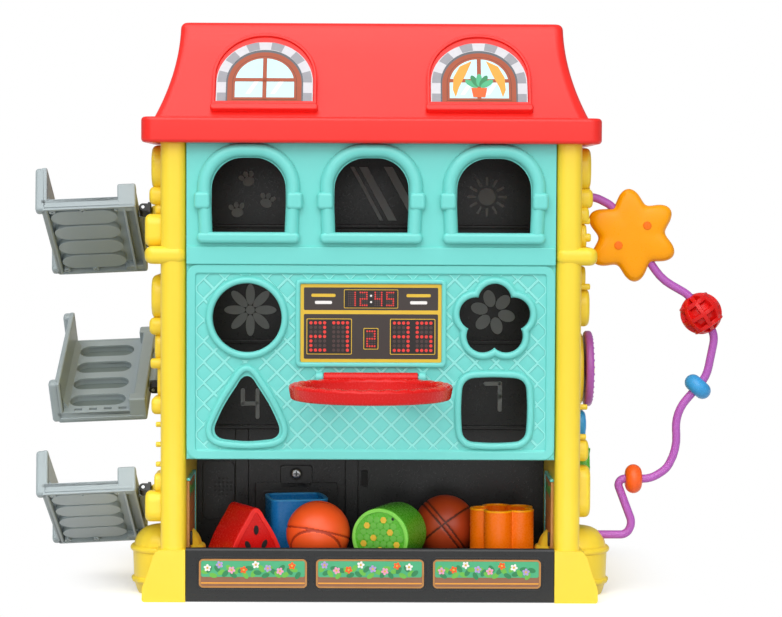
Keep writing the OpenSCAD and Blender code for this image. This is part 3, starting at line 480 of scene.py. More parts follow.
def outline(points: Sequence[Point]) -> Form:
    """Draws a flat face through a few corner points.

    Args:
        points: The corners, run counter-clockwise.

    Returns:
        The flat drawing.
    """
    made = Form()
    made.bm.faces.new([made.bm.verts.new((x, y, 0)) for x, y in points])
    return made


def plate(width: float, height: float, radius: float = 0.0, steps: int = 6) -> Form:
    """Draws a flat rectangle about the origin.

    Args:
        width: Size in X.
        height: Size in Y.
        radius: Rounding of the corners.
        steps: Straight pieces in a round.

    Returns:
        The flat drawing.
    """
    made = Form()
    bmesh.ops.create_grid(made.bm, x_segments=1, y_segments=1, size=0.5)
    made.size(width, height)
    return made.corners(radius, steps) if radius else made


def disc(radius: float, sides: int = 48) -> Form:
    """Draws a flat round face about the origin.

    Args:
        radius: Its radius.
        sides: Its number of corners.

    Returns:
        The flat drawing.
    """
    made = Form()
    bmesh.ops.create_circle(made.bm, cap_ends=True, radius=radius, segments=sides)
    return made


def arch(width: float, height: float, radius: float, steps: int = 12) -> Form:
    """A flat arch that stands on the X axis, with two round top corners."""
    made = plate(width, height).move(y=height / 2)
    return made.corners(radius, steps, lambda co: co.y > height / 2)


def block(low: Sequence[float], high: Sequence[float], edge: float = 0.0, steps: int = 3) -> Form:
    """A box between two corners, with its edges rounded.

    Args:
        low: Lowest corner.
        high: Highest corner.
        edge: Rounding of the edges.
        steps: Faces across a round.

    Returns:
        The closed box.
    """
    made = Form()
    bmesh.ops.create_cube(made.bm, size=1.0)
    lo, hi = Vector(low), Vector(high)
    made.size(*(hi - lo)).move(*((hi + lo) / 2))
    return made.soften(edge, steps) if edge else made


def lathe(profile: Sequence[Point], steps: int = 64) -> Form:
    """Spins a profile of radius and height about Z.

    Args:
        profile: Points of the profile; a closed one repeats its first point.
        steps: Faces around.

    Returns:
        The turned mesh.
    """
    made = Form()
    verts = [made.bm.verts.new((r, 0, z)) for r, z in profile]
    edges = [made.bm.edges.new(pair) for pair in zip(verts, verts[1:])]
    bmesh.ops.spin(
        made.bm, geom=verts + edges, cent=(0, 0, 0), axis=(0, 0, 1), dvec=(0, 0, 0),
        angle=math.tau, steps=steps, use_merge=True, use_duplicate=False,
    )
    bmesh.ops.remove_doubles(made.bm, verts=made.bm.verts[:], dist=0.0005)
    return made.outward()


def arc(x: float, y: float, radius: float, start: float, end: float, steps: int = 6) -> list[Point]:
    """Points of an arc about x, y from one angle to another, in degrees."""
    turns = [math.radians(start + (end - start) * i / steps) for i in range(steps + 1)]
    return [(x + radius * math.cos(a), y + radius * math.sin(a)) for a in turns]


def rod(length: float, radius: float, edge: float = 0.3, steps: int = 32) -> Form:
    """A round bar from the origin along Z.

    Args:
        length: Its length.
        radius: Its radius.
        edge: Rounding of its ends.
        steps: Faces around it.

    Returns:
        The closed bar.
    """
    near = arc(radius - edge, edge, edge, -90, 0, 3)
    far = arc(radius - edge, length - edge, edge, 0, 90, 3)
    return lathe([(0, 0)] + near + far + [(0, length)], steps)


def screw_head(foot: float, dome: Sequence[Point], cross: float, deep: float, steps: int) -> Form:
    """A domed screw head with a cross recess.

    Args:
        foot: Where the head begins along Z.
        dome: Profile from its rim to its top.
        cross: Length of the recess.
        deep: Where the recess begins along Z.
        steps: Faces around it.

    Returns:
        The closed head.
    """
    head = lathe([(0, foot), (3.4, foot), *dome], steps)
    slots = [plate(*size).thick(2).move(z=deep) for size in ((cross, 0.9), (0.9, cross))]
    return head.carve(*slots)


class Sweep(Form):
    """A round bar that follows straight runs and bends in X and Y."""

    def __init__(self, start: Point, heading: float, radius: float, sides: int = 20) -> None:
        """Draws the first ring.

        Args:
            start: Where the bar begins.
            heading: Direction of the first run, in degrees.
            radius: Radius of the bar.
            sides: Faces around the bar.
        """
        super().__init__()
        self.point = Vector((*start, 0.0))
        self.heading = math.radians(heading)
        ring = bmesh.ops.create_circle(self.bm, cap_ends=False, radius=radius, segments=sides)["verts"]
        facing = Matrix.Rotation(self.heading, 4, "Z") @ Matrix.Rotation(math.pi / 2, 4, "Y")
        bmesh.ops.transform(self.bm, matrix=Matrix.Translation(self.point) @ facing, verts=ring)
        self.rim = self.bm.edges[:]
        bmesh.ops.edgeloop_fill(self.bm, edges=self.rim)

    def run(self, length: float) -> "Sweep":
        """Goes straight on.

        Args:
            length: How far.

        Returns:
            This bar.
        """
        made = bmesh.ops.extrude_edge_only(self.bm, edges=self.rim)["geom"]
        step = Vector((math.cos(self.heading), math.sin(self.heading), 0)) * length
        bmesh.ops.translate(self.bm, vec=step, verts=[g for g in made if isinstance(g, bmesh.types.BMVert)])
        self.rim = [g for g in made if isinstance(g, bmesh.types.BMEdge)]
        self.point += step
        return self

    def bow(self, radius: float, degrees: float) -> "Sweep":
        """Bends to one side.

        Args:
            radius: Radius of the bend.
            degrees: Its angle, positive to the left and negative to the right.

        Returns:
            This bar.
        """
        angle = math.radians(degrees)
        side = math.copysign(1.0, angle)
        centre = self.point + Vector((-math.sin(self.heading), math.cos(self.heading), 0)) * radius * side
        steps = max(2, round(abs(degrees) / 7.5))
        made = bmesh.ops.spin(
            self.bm, geom=self.rim, cent=centre, axis=(0, 0, 1), dvec=(0, 0, 0), angle=angle, steps=steps,
            use_merge=False, use_duplicate=False,
        )["geom_last"]
        self.rim = [g for g in made if isinstance(g, bmesh.types.BMEdge)]
        self.point = centre + Matrix.Rotation(angle, 3, "Z") @ (self.point - centre)
        self.heading += angle
        return self

    def close(self) -> "Sweep":
        """Closes the far end.

        Returns:
            This bar.
        """
        bmesh.ops.edgeloop_fill(self.bm, edges=self.rim)
        bmesh.ops.remove_doubles(self.bm, verts=self.bm.verts[:], dist=0.0005)
        self.outward()
        return self


def follow(path: Sequence[Place], radius: float) -> Sweep:
    """A round bar through corner points, each with its bend radius.

    Args:
        path: X, Y and bend radius of each corner.
        radius: Radius of the bar.

    Returns:
        The closed bar.
    """
    points = [Vector(p[:2]) for p in path]
    runs = [b - a for a, b in zip(points, points[1:])]
    angles = [math.atan2(r.y, r.x) for r in runs]
    turns = [math.remainder(b - a, math.tau) for a, b in zip(angles, angles[1:])]
    trims = [0.0] + [p[2] * math.tan(abs(t) / 2) for p, t in zip(path[1:], turns)] + [0.0]
    bar = Sweep(path[0][:2], math.degrees(angles[0]), radius)
    for i, run in enumerate(runs):
        bar.run(run.length - trims[i] - trims[i + 1])
        if i < len(turns):
            bar.bow(path[i + 1][2], math.degrees(turns[i]))
    return bar.close()


def publish(
    form: Form, name: str, body: str, paints: Union[Paint, Sequence[Paint]], replaces: Sequence[str] = (),
    smooth: float = 38.0,
) -> bpy.types.Object:
    """Makes a finished piece of a mesh: scales it to metres, dresses it and hangs it on its body.

    Args:
        form: The mesh in millimetres; it is used up.
        name: The piece's name.
        body: The body that it rides on.
        paints: Its finish, or the finishes of its material numbers.
        replaces: CAD nodes that it stands for.
        smooth: Edges that turn by more degrees than this stay sharp.

    Returns:
        The new object.
    """
    listed = [paints] if isinstance(paints, Paint) else list(paints)
    form.size(MM, MM, MM)
    mesh = bpy.data.meshes.new(name)
    form.bm.to_mesh(mesh)
    form.bm.free()
    mesh.polygons.foreach_set("use_smooth", [True] * len(mesh.polygons))
    mesh.set_sharp_from_angle(angle=math.radians(smooth))
    for paint in listed:
        mesh.materials.append(paint.finish.material())
    piece = bpy.data.objects.new(name, mesh)
    bpy.context.scene.collection.objects.link(piece)
    weighted = piece.modifiers.new("even_shading", "WEIGHTED_NORMAL")
    weighted.keep_sharp = True
    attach(piece, body)
    if replaces:
        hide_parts(*replaces)
    LOG.info("%s: %d faces on %s", name, len(mesh.polygons), body)
    return piece


def layer(form: Form, z: float, depth: float = 0.09) -> Form:
    """A printed or raised layer of a drawing at height z."""
    return form.thick(depth).move(z=z)


Draw = Callable[[float], Form]


@dataclass
class AtticWindow:
    """A leaning attic window: red surround with a ledge, and a printed arch of stones with panes."""

    side: int
    x: float = 75.2
    y: float = -98.3
    z: float = 373.0
    tilt: float = 28.7
    width: float = 70.4
    tall: float = 55.9
    out: float = 2.5
    root: float = 6.0
    hood: Point = (2.4, 1.6)
    ledge: Point = (5.2, 3.0)
    stones: int = 11
    stone_deep: float = 6.8
    joint: float = 0.4
    label_w: float = 67.6
    label_h: float = 50.6
    ink: float = 0.09
    steps: int = 16

    def place(self, form: Form) -> Form:
        """Stands a drawing on the leaning roof front."""
        form.move(y=-self.tall / 2).stand().turn(-self.tilt, Axis.X)
        return form.move(self.side * self.x, self.y, self.z)

    def surround(self) -> Form:
        """The red surround: a plate, a hood around its arch and a ledge below.

        Returns:
            The solid in place on the roof.
        """
        deep = self.out + self.root
        made = arch(self.width, self.tall, self.width / 2 - 1, self.steps).thick(deep)
        hood = arch(self.width + 3, self.tall + 2, self.width / 2 + 0.5, self.steps).ring(self.hood[0])
        hood.thick(deep + self.hood[1])
        ledge = plate(self.width + 5, self.ledge[0], 2.2).thick(deep + self.ledge[1])
        ledge.move(y=0.2 - self.ledge[0] / 2)
        return self.place(made.soften(0.9).add(hood.soften(0.8), ledge.soften(1.3)).move(z=-self.root))

    def masonry(self, base: float) -> Form:
        """The ring of stones, every other one grey, with its dark inner edge.

        Args:
            base: Height of the label's face.

        Returns:
            The printed layers.
        """
        outer = self.label_w / 2
        spring = self.label_h - outer + 1
        made = layer(arch(self.label_w, self.label_h, outer - 1, self.steps), base - 0.4, 0.4)
        marks = []
        for i in range(0, self.stones, 2):
            start, end = (180 * k / self.stones for k in (i, i + 1))
            far = arc(0, spring, outer - 0.7, start, end, 3)
            near = arc(0, spring, outer - self.stone_deep, end, start, 3)
            marks.append(outline(far + near))
        for hand in (-1, 1):
            low = plate(self.stone_deep - 0.5, spring / 2 - self.joint)
            x = hand * (outer - self.stone_deep / 2 - self.joint)
            marks.append(low.move(x, spring / 4 + self.joint))
        for mark in marks:
            made.add(layer(mark, base), tint=1)
        inner = 2 * (outer - self.stone_deep)
        made.add(layer(arch(inner, spring + inner / 2 - 0.6, inner / 2 - 0.5, self.steps), base), tint=2)
        return made

    def panes(self, made: Form, base: float) -> None:
        """Draws the timber frame and its four panes.

        Args:
            made: The label so far.
            base: Height of the label's face.
        """
        wide = 2 * (self.label_w / 2 - self.stone_deep) - 2.2
        high = self.label_h - self.stone_deep - 1.6
        frame_w, bar = 10.4, 2.8
        for step, (shrink, tint) in enumerate(((0.0, 3), (6.4, 4), (7.4, 3), (frame_w, 5))):
            w, h = wide - shrink, high - shrink
            field_arch = arch(w, h, w / 2 - 0.5, self.steps).move(y=shrink / 2)
            made.add(layer(field_arch, base + self.ink * (step + 1)), tint=tint)
        top = base + 5 * self.ink
        glass = wide - frame_w
        for x in (-0.32 * glass, 0.1 * glass):
            glare = outline([(x, 8.0), (x + 3.2, 8.0), (x + 9.2, 18.0), (x + 6, 18.0)])
            made.add(layer(glare, top), tint=6)
        made.add(layer(plate(bar, high - 8).move(y=high / 2), top + self.ink), tint=3)
        made.add(layer(plate(glass + 1, bar).move(y=high * 0.46), top + self.ink), tint=3)

    def curtains(self, made: Form, base: float) -> None:
        """Draws two drawn curtains and a potted plant on the sill.

        Args:
            made: The label so far.
            base: Height of the label's face.
        """
        sill, rim = 6.0, 13.5
        for hand in (-1, 1):
            fold = outline([(16.5, sill), (18.5, 12), (18, 22), (13.5, 31), (5, 35.5), (9.5, 24), (14.2, 14)])
            made.add(layer(fold.mirrored(hand), base + 0.55), tint=7)
        pot = outline([(-4.2, sill), (4.2, sill), (5.6, rim), (-5.6, rim)])
        made.add(layer(pot, base + 0.64), tint=8)
        for k in range(5):
            leaf = disc(1.0, 20).size(2.1, 5.2).move(y=6.5).turn(56 - 28 * k, Axis.Z).move(y=rim - 0.3)
            made.add(layer(leaf, base + 0.64 + 0.02 * k), tint=9 + k % 2)

    def build(self) -> None:
        """Publishes the printed label."""
        base = self.out + 0.86
        made = self.masonry(base)
        self.panes(made, base)
        if self.side > 0:
            self.curtains(made, base)
        paints = (
            Paint.STONE, Paint.SLATE, Paint.SHADE, Paint.BARK, Paint.UMBER, Paint.PANE, Paint.GLARE,
            Paint.AMBER, Paint.CORAL, Paint.LEAF, Paint.MOSS,
        )
        hand = "right" if self.side > 0 else "left"
        publish(self.place(made), f"attic_print_{hand}", "house", paints, [f"{hand}_attic_label"])


@dataclass
class Roof:
    """Red roof: a round-edged fascia under a flared mansard with two attic windows."""

    eaves: float = 323.0
    fascia: float = 18.0
    over: Point = (322.0, 246.0)
    corner: Point = (9.0, 8.0)
    edge: Point = (2.6, 4.6)
    low: Point = (152.0, 117.0)
    top: Point = (136.0, 82.0)
    bend: Point = (2.0, 1.4)
    rise: float = 68.0
    levels: int = 16

    def share(self, axis: int, t: float) -> float:
        """The mansard's size at height share t, as a share of its foot."""
        low, top = self.low[axis], self.top[axis]
        return (top + (low - top) * (1 - t) ** self.bend[axis]) / low

    def build(self) -> None:
        """Publishes the roof and its labels."""
        shell = plate(*self.over, self.corner[0], 8).thick(self.fascia)
        shell.soften(self.edge[0], 4).move(z=self.eaves)
        heights = [i / self.levels for i in range(1, self.levels + 1)]
        mansard = plate(2 * self.low[0], 2 * self.low[1], self.corner[1], 6)
        mansard.loft([(self.rise * t, self.share(0, t), self.share(1, t)) for t in heights])
        mansard.soften(self.edge[1], 5, 40, lambda co: co.z > self.rise - 0.01)
        shell.add(mansard.move(z=self.eaves + self.fascia))
        for side in (-1, 1):
            window = AtticWindow(side)
            shell.add(window.surround())
            window.build()
        publish(shell, "roof_shell", "house", Paint.RED, ["roof"])


@dataclass
class UpperPanel:
    """Teal upper front: three arched windows with round frames, clamps and sills over a plain belt."""

    half: float = 129.5
    y: float = -112.0
    wall: float = 3.0
    low: float = 238.0
    belt: float = 12.6
    belt_out: float = 2.0
    high: float = 323.0
    pitch: float = 86.0
    sill_z: float = 260.7
    opening: Place = (52.0, 52.0, 22.0)
    tube: float = 4.9
    lean: float = 2.2
    sill: Place = (72.0, 7.7, 7.0)
    clamp: Place = (11.2, 12.0, 7.4)
    clamp_z: float = 22.0

    def window(self) -> Form:
        """One window's frame, clamps and sill about its foot, facing up.

        Returns:
            The joined solids.
        """
        w, h, r = self.opening
        bow, turn, leg = r + self.tube - 0.5, -90 - self.lean, h - r + 1
        bar = Sweep((0.8 - w / 2 - self.tube, -1.0), 90 + self.lean, self.tube, 24).run(leg).bow(bow, turn)
        bar.run(-2 * bar.point.x).bow(bow, turn).run(leg).close()
        made = Form().add(bar.move(z=0.6))
        wide, tall, out = self.sill
        made.add(plate(wide, tall, 3.6).thick(out).soften(2.6, 4).move(y=-tall / 2, z=-1))
        wide, tall, out = self.clamp
        for hand in (-1, 1):
            clamp = plate(wide, tall, 2.6).thick(out).soften(2.4, 4)
            made.add(clamp.move(hand * (w / 2 + 6.3), self.clamp_z, -1))
        return made

    def build(self) -> None:
        """Publishes the panel."""
        w, h, r = self.opening
        shell = block((-self.half, self.y, self.low), (self.half, self.y + self.wall, self.high))
        places = [i * self.pitch for i in (-1, 0, 1)]
        shell.carve(*[arch(w, h, r).thick(12).move(x, self.sill_z).stand(self.y + 7) for x in places])
        for x in places:
            shell.add(self.window().move(x, self.sill_z).stand(self.y))
        low = (-self.half, self.y - self.belt_out, self.low)
        shell.add(block(low, (self.half, self.y + 1, self.low + self.belt), 0.8))
        publish(shell, "upper_front_shell", "house", Paint.TEAL, ["upper_front_panel"])


@dataclass
class Shapes:
    """The four sorter shapes, drawn about their own centres, with bowed sides on the straight ones."""

    round_d: float = 48.5
    triangle_w: float = 47.2
    triangle_h: float = 43.0
    triangle_r: float = 12.5
    square_w: float = 45.0
    square_r: float = 8.0
    flower_d: float = 49.8
    bow: float = 0.16

    def bowed(self, form: Form, reach: float) -> Form:
        """Bows straight sides out.

        Args:
            form: The drawing.
            reach: Radius of the circle that the sides bow toward.

        Returns:
            The same drawing.
        """
        long = [e for e in form.bm.edges if e.calc_length() > 8]
        bmesh.ops.subdivide_edges(form.bm, edges=long, cuts=9, use_grid_fill=False)
        return form.bend(lambda co: co * (1 + self.bow * max(0.0, reach / co.length - 1)))

    def round(self, grow: float = 0.0) -> Form:
        """The round shape."""
        return disc(self.round_d / 2 + grow, 72)

    def triangle(self, grow: float = 0.0) -> Form:
        """The triangle, its centre a third up.

        Args:
            grow: Border around the hole's outline, negative inside it.

        Returns:
            The flat drawing.
        """
        w, h = 0.58 * self.triangle_w, self.triangle_h
        scale = 1 + grow / (h / 3)
        made = outline([(-w, -h / 3), (w, -h / 3), (0, h * 2 / 3 + 8)]).size(scale, scale)
        made.corners(self.triangle_r + 1.73 * grow, 8)
        return self.bowed(made, 25 * scale)

    def square(self, grow: float = 0.0) -> Form:
        """The square shape."""
        made = plate(self.square_w + 2 * grow, self.square_w + 2 * grow, self.square_r + grow, 8)
        return self.bowed(made, 27.5 + grow)

    def petal(self, co: Vector, grow: float) -> Vector:
        """The flower's edge in the direction of a point.

        Args:
            co: A point of a circle about the middle.
            grow: Border around the hole's outline, negative inside it.

        Returns:
            The place on the edge of the nearest of five round petals.
        """
        ring = 0.28 * self.flower_d
        radius = self.flower_d / 2 - ring * math.cos(math.radians(18)) + grow
        turn = (math.atan2(co.y, co.x) - math.radians(54)) % math.radians(72) - math.radians(36)
        reach = ring * math.cos(turn) + math.sqrt(max(0.0, radius**2 - (ring * math.sin(turn)) ** 2))
        return co.normalized() * max(ring, reach)

    def flower(self, grow: float = 0.0) -> Form:
        """The flower shape."""
        return disc(1.0, 120).bend(lambda co: self.petal(co, grow))


@dataclass
class LowerPanel:
    """Teal lower front: a lattice field with four sorter holes, their rims, a border and the hoop's ears."""

    half: float = 129.5
    low: float = 100.8
    high: float = 238.0
    wall: float = 3.0
    panel_y: float = -112.0
    field_y: float = -110.8
    area: tuple[float, float, float, float] = (-123.0, 106.8, 123.0, 232.0)
    cell: float = 10.39
    cells: int = 26
    strap_out: float = 0.45
    rim_w: float = 4.6
    rim_out: float = 3.4
    border_w: float = 6.5
    board: Place = (106.0, 62.0, 197.0)
    pin: Point = (-115.5, 159.0)
    ear_x: float = 36.0
    ear_r: float = 3.6
    shapes: Shapes = field(default_factory=Shapes)

    def holes(self, grow: float = 0.0) -> list[Form]:
        """The four shapes at their places in X and Z.

        Args:
            grow: Border around the holes' outlines.

        Returns:
            Flat drawings.
        """
        s = self.shapes
        return [
            s.round(grow).move(-87, 200.5),
            s.triangle(grow).move(-87, 115 + s.triangle_h / 3),
            s.flower(grow).move(87, 199.5),
            s.square(grow).move(87, 136),
        ]

    def lattice(self) -> Form:
        """The crossed straps with a raised tile in each diamond, cut to the field.

        Returns:
            A closed sheet that faces up.
        """
        x0, y0, x1, y1 = self.area
        made = Form()
        size = self.cells * self.cell / 2
        bmesh.ops.create_grid(made.bm, x_segments=self.cells, y_segments=self.cells, size=size)
        made.turn(45, Axis.Z).move(0, (y0 + y1) / 2)
        for co, no in (
            ((x0, 0, 0), (-1, 0, 0)), ((x1, 0, 0), (1, 0, 0)),
            ((0, y0, 0), (0, -1, 0)), ((0, y1, 0), (0, 1, 0)),
        ):
            geom = made.bm.verts[:] + made.bm.edges[:] + made.bm.faces[:]
            bmesh.ops.bisect_plane(made.bm, geom=geom, plane_co=co, plane_no=no, clear_outer=True, dist=0.001)
        tiles = [f for f in made.bm.faces if f.calc_area() > 30]
        # The band at each tile's edge, along the straps, gets the pale teal as a painted highlight; the
        # groove's walls and floor get the deep teal as painted shade.
        for inset, rise, tint in ((0.85, 0.0, 2), (0.3, -0.85, 1), (0.3, 0.0, 1), (0.7, 0.5, 0)):
            band = bmesh.ops.inset_individual(
                made.bm, faces=tiles, thickness=inset, depth=rise, use_even_offset=True
            )
            for face in band["faces"]:
                face.material_index = tint
        made.pull(made.bm.faces[:], (0, 0, -1.4))
        return made.outward()

    def ear(self, hand: int) -> Form:
        """One rounded ear that holds the hoop's pin.

        Args:
            hand: -1 for the left ear, 1 for the right one.

        Returns:
            The ear in place.
        """
        y, z = self.pin
        low, high = hand * self.ear_x - 2.5, hand * self.ear_x + 2.5
        knuckle = rod(high - low, self.ear_r, 0.5, 40).turn(90, Axis.Y).move(low, y, z)
        return knuckle.add(block((low, y, z - self.ear_r), (high, self.field_y + 0.8, z + self.ear_r), 0.5))

    def build(self) -> None:
        """Publishes the panel."""
        shell = block((-self.half, self.field_y, self.low), (self.half, self.field_y + self.wall, self.high))
        shell.carve(*[h.thick(12).stand(self.field_y + 6) for h in self.holes()])
        straps = self.lattice().move(z=self.strap_out)
        straps.carve(*[h.thick(12).move(z=-6) for h in self.holes(self.rim_w + 1.0)])
        shell.add(straps.stand(self.field_y))
        for rim in self.holes(self.rim_w):
            solid = rim.ring(self.rim_w).thick(self.rim_out + 1).move(z=-1).soften(2.1, 5)
            shell.add(solid.stand(self.field_y))
        x0, y0, x1, y1 = self.area
        border = plate(x1 - x0 + 2 * self.border_w, y1 - y0 + 12, 8).ring(self.border_w).thick(3.2)
        shell.add(border.move(y=(y0 + y1) / 2, z=-1.2).soften(1.1, 4).stand(self.panel_y + 1.2))
        foot = (self.half, self.panel_y + self.wall, self.low + 7.4)
        shell.add(block((-self.half, self.panel_y, self.low), foot, 1.6, 4))
        wide, tall, z = self.board
        frame_ring = plate(wide, tall, 4).ring(3.4).thick(4.0).move(y=z, z=-1).soften(1.3, 4)
        backing = plate(wide - 3, tall - 3).thick(2.0).move(y=z, z=-1)
        shell.add(frame_ring.stand(self.field_y), backing.stand(self.field_y))
        for hand in (-1, 1):
            shell.add(self.ear(hand))
        paints = (Paint.TEAL, Paint.TEAL_GROOVE_SHADE, Paint.TEAL_STRAP_HIGHLIGHT)
        publish(shell, "lower_front_shell", "house", paints, ["lower_front_panel"])


SEGMENTS = {
    0: "abcdef", 1: "bc", 2: "abged", 3: "abgcd", 4: "fgbc",
    5: "afgcd", 6: "afgedc", 7: "abc", 8: "abcdefg", 9: "abcfgd",
}


def lit(digit: int, col: int, row: int) -> bool:
    """Tells if a dot of a 4 by 7 dot digit is lit, by the seven-segment rule.

    Args:
        digit: The number shown.
        col: Column from the left, 0 to 3.
        row: Row from the bottom, 0 to 6.

    Returns:
        True for a lit dot.
    """
    rules = {
        "a": row == 6, "g": row == 3, "d": row == 0,
        "f": col == 0 and row >= 3, "b": col == 3 and row >= 3,
        "e": col == 0 and row <= 3, "c": col == 3 and row <= 3,
    }
    return any(rules[name] for name in SEGMENTS[digit])


@dataclass
class ScoreBoard:
    """Printed score board: gold border, clock strip and boxes of dot digits."""

    z: float = 197.0
    y: float = -111.8
    width: float = 99.0
    height: float = 55.0
    border: float = 2.4
    strip: Point = (9.2, 25.1)
    strip_gap: float = 2.8
    score_box: Point = (31.8, 25.2)
    score_x: float = 29.3
    period_box: Point = (10.4, 15.0)
    clock_box: Point = (38.0, 13.2)
    scores: tuple[tuple[int, int], ...] = ((2, 7), (3, 5))
    clock: tuple[int, ...] = (1, 2, 4, 5)
    clock_x: tuple[float, ...] = (-13.4, -5.2, 5.2, 13.4)
    period: int = 2

    def digit(self, made: Form, value: int, place: Point, pitch: float, dot: float) -> None:
        """Draws a digit of lit and dark dots.

        Args:
            made: The label so far.
            value: The number.
            place: Middle of the digit.
            pitch: Distance of the dots.
            dot: Diameter of a dot.
        """
        for col in range(4):
            for row in range(7):
                mark = disc(dot / 2, 12).move(place[0] + (col - 1.5) * pitch, place[1] + (row - 3) * pitch)
                made.add(layer(mark, 0.62), tint=3 if lit(value, col, row) else 4)

    def box(self, made: Form, size: Point, place: Point, line: float, radii: Point) -> None:
        """Draws a dark box inside a gold line, which takes half of line on each side."""
        made.add(layer(plate(*size, radii[0]).move(*place), 0.45), tint=0)
        made.add(layer(plate(size[0] - line, size[1] - line, radii[1]).move(*place), 0.53), tint=2)

    def build(self) -> None:
        """Publishes the label."""
        made = layer(plate(self.width, self.height, 1.2), 0.0, 0.36)
        inside = self.width - 2 * self.border
        low, high = -self.height / 2 + self.border, self.strip[0] - self.strip_gap
        for y0, y1 in (self.strip, (low, high)):
            made.add(layer(plate(inside, y1 - y0, 0.8).move(y=(y0 + y1) / 2), 0.36), tint=1)
        middle, top = (low + high) / 2, sum(self.strip) / 2
        for hand, pair in zip((-1, 1), self.scores):
            x = hand * self.score_x
            self.box(made, self.score_box, (x, middle), 1.0, (0.8, 0.6))
            for place, value in zip((-8.0, 8.0), pair):
                self.digit(made, value, (x + place, middle), 3.2, 2.3)
        self.box(made, self.period_box, (0, middle - 1.5), 0.9, (0.6, 0.5))
        self.digit(made, self.period, (0, middle - 1.5), 1.75, 1.3)
        self.box(made, self.clock_box, (0, top), 0.8, (0.6, 0.5))
        for place, value in zip(self.clock_x, self.clock):
            self.digit(made, value, (place, top), 1.5, 1.15)
        for rise in (-2.2, 2.2):
            made.add(layer(disc(0.75, 16).move(0, top + rise), 0.62), tint=5)
        for hand in (-1, 1):
            for k, wide in enumerate((17.0, 12.0)):
                bar = plate(wide, 2.2, 0.9).move(hand * 33.4, top + 2.4 - 5.0 * k)
                made.add(layer(bar, 0.45), tint=5 if k else 0)
            made.add(layer(disc(1.4, 20).move(hand * 18.0, middle + 10.0), 0.45), tint=0)
        paints = (Paint.GOLD, Paint.SIGN, Paint.NIGHT, Paint.LAMP, Paint.UNLIT, Paint.WHITE)
        publish(made.move(y=self.z).stand(self.y), "score_print", "house", paints, ["score_label"])


